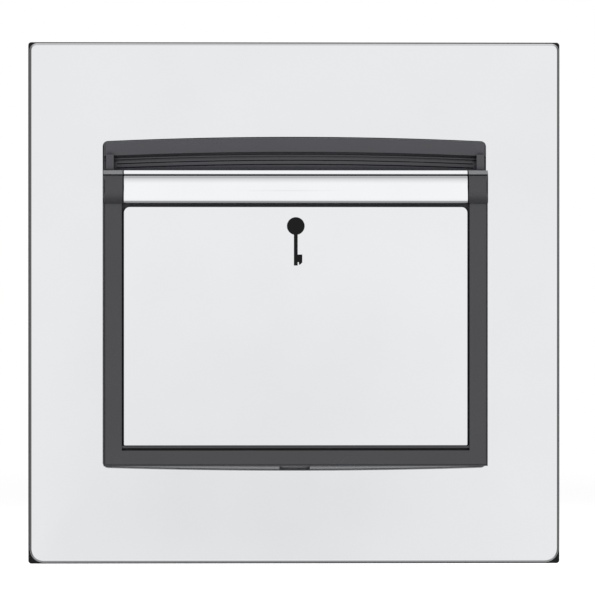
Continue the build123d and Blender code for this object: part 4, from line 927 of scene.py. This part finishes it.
CROSS_REACH = 0.62  # of the head's radius, out to the end of a cross
SLOT_REACH = 0.97  # the same for a slot
CROSS_FALL = 0.6  # share of its depth that a cross loses by its end
STRAIGHT_SIDE = 0.4  # of the head's height, under the dome
DRIVE_RINGS = (0.4, 0.8, 1.0, 1.45)  # of the drive's half width
DRIVE_END = 1.03  # of the drive's reach, just past its end wall
DOME_START = 1.06  # of the same, where the dome's rings begin
DOME_LIMIT = 0.99  # of the head's radius, for that place at most
EDGE_PLAY = 1.001  # lets points on the drive's own edge count as in it
WALL_ANGLE = 0.03  # radians from an arm's edge to the foot of its wall
WAVE_GAIN, WAVE_DROP = 1.6, 0.3  # which flatten the crests and roots of the thread's wave
COLLAR = 1.02  # of the shank's radius, where the seat ends
TIP_LENGTH = 0.8  # of the shank's radius
TIP_TAPER = 0.4  # share of its radius that the shank loses at the tip
ROWS_A_TURN = 8
SCREW_CREASE = 40.0  # degrees


def drive_angles(radius, half_width):
    """The angles of a head's columns at each radius, 12 to a quarter turn.

    Three columns lie on each arm of the cross, up to the angle whose sine is the arm's half width
    over the radius, one stands at the foot of its wall, and the rest share what is left between the
    arms.
    """
    edge = np.arcsin(np.minimum(half_width / radius, sin(pi / 4)))
    step = np.arange(12)
    walls = (0, 3, 4, 8, 9, 12)
    arm = np.interp(step, walls, (0, 1, 1, -1, -1, 0))
    fixed = np.interp(step, walls, (0, 0, WALL_ANGLE, pi / 2 - WALL_ANGLE, pi / 2, pi / 2))
    quarter = fixed[None] + arm[None] * edge[:, None]
    return np.concatenate([quarter + turn * pi / 2 for turn in range(4)], axis=1)


def screw_grid(kind, shank_length, sizes):
    """A screw along its own Z, from the middle of its head to its tip, with its seat at height 0.

    The head's top is half an ellipse over a short straight side, less the drive: where a point is
    within the drive's half width of an arm, it lies deeper, and the more so the nearer the middle.
    The thread's radius follows a flattened triangle wave of height over pitch less the share of a
    turn, which makes it a helix.
    """
    head_radius, head_height = kind.head_radius * MM, kind.head_height * MM
    shank_radius, neck_length = kind.shank_radius * MM, kind.neck_length * MM
    half_width = sizes.drive_share * head_radius
    reach = (CROSS_REACH if kind.crossed else SLOT_REACH) * head_radius
    dome_start = np.arcsin(min(DOME_LIMIT, DOME_START * reach / head_radius))
    radius = np.concatenate((
        np.array(DRIVE_RINGS) * half_width,
        np.linspace(2 * half_width, reach, 4), [DRIVE_END * reach],
        head_radius * np.sin(np.linspace(dome_start, pi / 2, 7)),
    ))
    radius = np.minimum(radius, head_radius)
    turn = drive_angles(radius, half_width)
    x, y = radius[:, None] * np.cos(turn), radius[:, None] * np.sin(turn)
    dome = np.sqrt(np.maximum(0, 1 - (radius / head_radius) ** 2))
    dome = head_height * (STRAIGHT_SIDE + (1 - STRAIGHT_SIDE) * dome)
    on_arm = np.abs(y) <= EDGE_PLAY * half_width
    if kind.crossed:
        on_arm |= np.abs(x) <= EDGE_PLAY * half_width
    fall = 1 - (CROSS_FALL if kind.crossed else 0.0) * radius / reach
    depth = sizes.drive_depth_share * head_height * fall * (radius <= EDGE_PLAY * reach)
    z = dome[:, None] - np.where(on_arm, depth[:, None], 0)
    head = np.stack((x, y, z), axis=-1)

    even = drive_angles(np.array([head_radius]), half_width)[0]
    pitch = getattr(sizes, kind.pitch)
    threaded = shank_length - neck_length
    rows = max(4, int(threaded / pitch * ROWS_A_TURN))
    height = -neck_length - np.linspace(0, threaded, rows)
    phase = (height[:, None] / pitch - even[None] / tau) % 1
    wave = np.clip(WAVE_GAIN * np.abs(2 * phase - 1) - WAVE_DROP, 0, 1)
    thread = shank_radius - sizes.thread_share * pitch * (1 - wave)
    tip_length = TIP_LENGTH * shank_radius
    taper = np.clip((tip_length - shank_length - height) / tip_length, 0, 1)
    thread *= 1 - TIP_TAPER * taper[:, None]
    plain = [(head_radius, 0.0), (COLLAR * shank_radius, 0.0)]
    if neck_length:
        plain += [(kind.neck_radius * MM, 0.0), (kind.neck_radius * MM, -neck_length)]
    plain = np.array(plain)
    radii = np.concatenate((np.repeat(plain[:, :1], len(even), axis=1), thread))
    heights = np.concatenate((plain[:, 1], height))[:, None] + np.zeros(len(even))
    shank = np.stack((radii * np.cos(even), radii * np.sin(even), heights), axis=-1)
    return closed_with_poles(
        np.concatenate((head, shank)), (0.0, 0.0, z[0].mean()), (0.0, 0.0, -shank_length)
    )


def copies(points, faces, places, towards):
    """The same arrays at several places, turned so that their Z points along +Y or -Y."""
    turned = np.stack((points[:, 0] * -towards, points[:, 2] * towards, points[:, 1]), axis=-1)
    all_points = np.concatenate([turned + np.array(place) for place in places])
    all_faces = np.concatenate([faces + len(points) * number for number in range(len(places))])
    return all_points, all_faces


def build_screws(kind, sizes):
    """All screws of one kind, in a grid in their node's box, with their heads at its sides."""
    low, high = corners_of(kind.node)
    inset, head_height = kind.head_radius * MM, kind.head_height * MM
    seat = low[1] + head_height if kind.faces_room else high[1] - head_height
    shank_length = high[1] - seat if kind.faces_room else seat - low[1]
    columns = np.linspace(low[0] + inset, high[0] - inset, kind.columns)
    rows = np.linspace(low[2] + inset, high[2] - inset, kind.rows)
    points, faces = copies(
        *screw_grid(kind, shank_length, sizes), [(x, seat, z) for x in columns for z in rows],
        -1 if kind.faces_room else 1,
    )
    add_piece(kind.piece, points, faces, "chassis", kind.slot, [kind.node], SCREW_CREASE)


class CARDSWITCH_OT_screws(bpy.types.Operator):
    """Build the screws of wall box, housing, board, terminals and earth block"""

    bl_idname = "card_switch.screws"
    bl_label = "Screws"

    def execute(self, context):
        for kind in SCREW_KINDS:
            build_screws(kind, context.scene.card_switch_screws)
        return {"FINISHED"}


# Pieces that keep the frame's own shape


class CARDSWITCH_OT_carried_pieces(bpy.types.Operator):
    """Give every piece that keeps its shape the finish of its slot"""

    bl_idname = "card_switch.carried_pieces"
    bl_label = "Finishes of the other pieces"

    def execute(self, context):
        slots = {part["node"]: part["material_slot"] for part in frame["record"]["subparts"]}
        for name, node in NODES.items():
            for place in node.material_slots:
                place.material = finish_of(slots[name])
        return {"FINISHED"}


# Stage


FLOOR_REACH = 6.0

# Each lamp: its place, the side of its square, and its watts
LAMPS = {
    "key light": ((-0.55, -0.75, 0.65), 0.6, 3.6),
    "fill light": ((0.75, -0.6, 0.25), 0.7, 1.5),
    "back light": ((0.35, 0.9, 0.55), 0.6, 3.2),
}

# The tent: its grey at shares of the turn from the wall to the room, and unit directions in it
TENT_GREYS = (
    (0.0, 0.52), (0.5, 0.44), (0.70, 0.52), (0.787, 0.66), (0.854, 0.83), (0.91, 0.95), (0.94, 1.0),
    (1.0, 1.0),
)
PANEL_DIRECTION = (0.0, 0.384, 0.923)
SHADE_DIRECTION = (0.012, -1.0, -0.045)

# How far the picture is shifted to put the object where the photo has it, in the photo's pixels
PHOTO_WIDTH = 595
PHOTO_SHIFT = (3.0, 5.5)

SENSOR_WIDTH = 36.0  # millimetres
CLIPPING = (0.01, 50.0)


def seen_straight(tree):
    """1 for a ray from the camera, off metal or through glass, and 0 for one that only lights."""
    ray = add(tree, "ShaderNodeLightPath")
    seen = ray.outputs["Is Camera Ray"]
    for kind in ("Is Glossy Ray", "Is Transmission Ray"):
        seen = add(
            tree, "ShaderNodeMath", {"operation": "ADD", "use_clamp": True},
            {0: seen, 1: ray.outputs[kind]},
        ).outputs[0]
    return seen


def pale_floor(settings):
    """Matt white paint, lifted to the backdrop's white where it is seen straight.

    The lift is added to the lit paint, so shadows stay. Farther out the floor fades into the
    backdrop.
    """
    finish, tree, place = blank_finish("matt white floor")
    paint = add(
        tree, "ShaderNodeBsdfDiffuse", {},
        {"Color": tinted(tree, cloud(tree, place, 60.0), linear("#F4F4F4"), 0.01)},
    ).outputs[0]
    lift, backdrop = (
        add(tree, "ShaderNodeEmission", {"Color": WHITE, "Strength": strength}).outputs[0]
        for strength in (settings.floor_lift, 1.0)
    )
    lifted = add(tree, "ShaderNodeAddShader", links={0: paint, 1: lift}).outputs[0]
    away = add(tree, "ShaderNodeVectorMath", {"operation": "LENGTH"}, {0: place}).outputs["Value"]
    fade = spread(tree, away, 0.0, 1.0, settings.fade_start, settings.fade_end)
    melted = add(tree, "ShaderNodeMixShader", links={0: fade, 1: lifted, 2: backdrop}).outputs[0]
    shown = add(
        tree, "ShaderNodeMixShader", links={0: seen_straight(tree), 1: paint, 2: melted}
    ).outputs[0]
    add(tree, "ShaderNodeOutputMaterial", links={"Surface": shown})
    return finish


def lay_floor(height, settings):
    """The floor, hidden from metal, which mirrors the tent all round instead."""
    corners = [
        (x * FLOOR_REACH, y * FLOOR_REACH, height) for x, y in ((-1, -1), (1, -1), (1, 1), (-1, 1))
    ]
    mesh = bpy.data.meshes.new("floor")
    mesh.from_pydata(corners, [], [(0, 1, 2, 3)])
    mesh.materials.append(pale_floor(settings))
    card = bpy.data.objects.new("floor", mesh)
    bpy.context.scene.collection.objects.link(card)
    card.visible_glossy = False


def tent_light(tree):
    """The white tent as metal sees it.

    A ramp over the direction's share towards the room makes the front white and the rest grey. A
    bright panel hangs overhead and a little behind, dark flags stand at the left and the right, the
    floor's side is greyer the steeper one looks down, and a faint round shade lies just below the
    camera.
    """
    direction = add(tree, "ShaderNodeTexCoord").outputs["Generated"]
    parts = add(tree, "ShaderNodeSeparateXYZ", links={0: direction}).outputs
    facing = spread(tree, parts["Y"], 0.0, 1.0, 1.0, -1.0)
    ramp = add(tree, "ShaderNodeValToRGB", links={0: facing})
    tent = set_stops(ramp, [(position, (grey, grey, grey, 1.0)) for position, grey in TENT_GREYS])
    to_panel, to_shade = (
        add(
            tree, "ShaderNodeVectorMath", {"operation": operation, 1: towards}, {0: direction}
        ).outputs["Value"]
        for operation, towards in (("DOT_PRODUCT", PANEL_DIRECTION), ("DISTANCE", SHADE_DIRECTION))
    )
    aside = add(tree, "ShaderNodeMath", {"operation": "ABSOLUTE"}, {0: parts["X"]}).outputs[0]
    panel = spread(tree, to_panel, 0.0, 1.0, 0.86, 0.97)
    strength = spread(tree, parts["Z"], 0.6, 1.0, -0.85, -0.6)
    shade = spread(tree, to_shade, 0.92, 1.0, 0.01, 0.055)
    flags = spread(tree, aside, 1.0, 0.25, 0.6, 0.85)
    for dimmer in (shade, flags):
        strength = add(
            tree, "ShaderNodeMath", {"operation": "MULTIPLY"}, {0: strength, 1: dimmer}
        ).outputs[0]
    lit = add(tree, "ShaderNodeMix", {"data_type": "RGBA", 7: WHITE}, {0: panel, 6: tent}).outputs[2]
    return add(tree, "ShaderNodeBackground", links={"Color": lit, "Strength": strength}).outputs[0]


def studio_world(sky_light):
    """White behind the object, even light on dull surfaces, and a white tent for metal to mirror."""
    world = bpy.data.worlds.new("white tent")
    bpy.context.scene.world = world
    world.use_nodes = True
    tree = world.node_tree
    tree.nodes.clear()
    ray = add(tree, "ShaderNodeLightPath").outputs
    white, soft = (
        add(tree, "ShaderNodeBackground", {"Color": WHITE, "Strength": strength}).outputs[0]
        for strength in (1.0, sky_light)
    )
    mirrored = add(
        tree, "ShaderNodeMixShader", links={0: ray["Is Glossy Ray"], 1: soft, 2: tent_light(tree)}
    ).outputs[0]
    seen = add(
        tree, "ShaderNodeMath", {"operation": "ADD", "use_clamp": True},
        {0: ray["Is Camera Ray"], 1: ray["Is Transmission Ray"]},
    ).outputs[0]
    shown = add(tree, "ShaderNodeMixShader", links={0: seen, 1: mirrored, 2: white}).outputs[0]
    add(tree, "ShaderNodeOutputWorld", links={"Surface": shown})


def soft_lamp(name, place, target, size, watts):
    """A square lamp that shines at the target and isn't itself seen in the chrome."""
    lamp = bpy.data.lights.new(name, "AREA")
    lamp.size, lamp.energy = size, watts
    holder = bpy.data.objects.new(name, lamp)
    bpy.context.scene.collection.objects.link(holder)
    holder.location = place
    holder.rotation_euler = (Vector(target) - Vector(place)).to_track_quat("-Z", "Y").to_euler()
    holder.visible_glossy = False
    holder.visible_camera = False


def aim_camera(settings, target):
    """The camera at its distance from the target, turned and raised about it."""
    camera = bpy.data.cameras.new("camera")
    camera.sensor_width = SENSOR_WIDTH
    camera.lens = camera.sensor_width * settings.distance / settings.view_width
    camera.clip_start, camera.clip_end = CLIPPING
    camera.shift_x, camera.shift_y = (pixels / PHOTO_WIDTH for pixels in PHOTO_SHIFT)
    turn, lift = settings.azimuth, settings.elevation
    back = Vector((sin(turn) * cos(lift), -cos(turn) * cos(lift), sin(lift)))
    holder = bpy.data.objects.new("camera", camera)
    bpy.context.scene.collection.objects.link(holder)
    holder.location = target + back * settings.distance
    holder.rotation_euler = (-back).to_track_quat("-Z", "Y").to_euler()
    bpy.context.scene.camera = holder


class CARDSWITCH_OT_stage(bpy.types.Operator):
    """Set the floor, the light and the camera"""

    bl_idname = "card_switch.stage"
    bl_label = "Stage"

    def execute(self, context):
        settings = context.scene.card_switch_stage
        plate_low, plate_high = corners_of("front_plate")
        middle = ((plate_low + plate_high) / 2).tolist()
        lay_floor(plate_low[2] - settings.floor_drop, settings)
        studio_world(settings.sky_light)
        for name, (place, size, watts) in LAMPS.items():
            soft_lamp(name, place, middle, size, watts)
        aim_camera(settings, Vector((middle[0], plate_low[1], middle[2])))
        context.scene.view_settings.view_transform = "Standard"
        return {"FINISHED"}


class CARDSWITCH_PT_pieces(bpy.types.Panel):
    """Lists the sizes, colours and pieces"""

    bl_label = "Key card switch"
    bl_idname = "CARDSWITCH_PT_pieces"
    bl_space_type = "VIEW_3D"
    bl_region_type = "UI"
    bl_category = "Card switch"

    def draw(self, context):
        for name, (group, label) in SETTINGS.items():
            box = self.layout.box()
            box.label(text=label)
            for field in group.__annotations__:
                box.prop(getattr(context.scene, name), field)
        for operator in OPERATORS:
            self.layout.operator(operator.bl_idname)


SETTINGS = {
    "card_switch_plate": (CardSwitchPlateSizes, "Front plate"),
    "card_switch_trim": (CardSwitchTrimSizes, "Lip trim"),
    "card_switch_screws": (CardSwitchScrewSizes, "Screws"),
    "card_switch_colours": (CardSwitchColours, "Colours"),
    "card_switch_stage": (CardSwitchStageSettings, "Stage"),
}

OPERATORS = (
    CARDSWITCH_OT_carried_pieces,
    CARDSWITCH_OT_front_plate,
    CARDSWITCH_OT_lip_trim,
    CARDSWITCH_OT_screws,
    CARDSWITCH_OT_stage,
)


def register():
    for name, (group, _) in SETTINGS.items():
        bpy.utils.register_class(group)
        setattr(bpy.types.Scene, name, bpy.props.PointerProperty(type=group))
    for operator in OPERATORS:
        bpy.utils.register_class(operator)
    bpy.utils.register_class(CARDSWITCH_PT_pieces)


def unregister():
    bpy.utils.unregister_class(CARDSWITCH_PT_pieces)
    for operator in reversed(OPERATORS):
        bpy.utils.unregister_class(operator)
    for name, (group, _) in reversed(SETTINGS.items()):
        delattr(bpy.types.Scene, name)
        bpy.utils.unregister_class(group)


def main():
    """Builds every piece in order."""
    register()
    for operator in OPERATORS:
        group, name = operator.bl_idname.split(".")
        getattr(getattr(bpy.ops, group), name)()


if __name__ == "__main__":
    main()
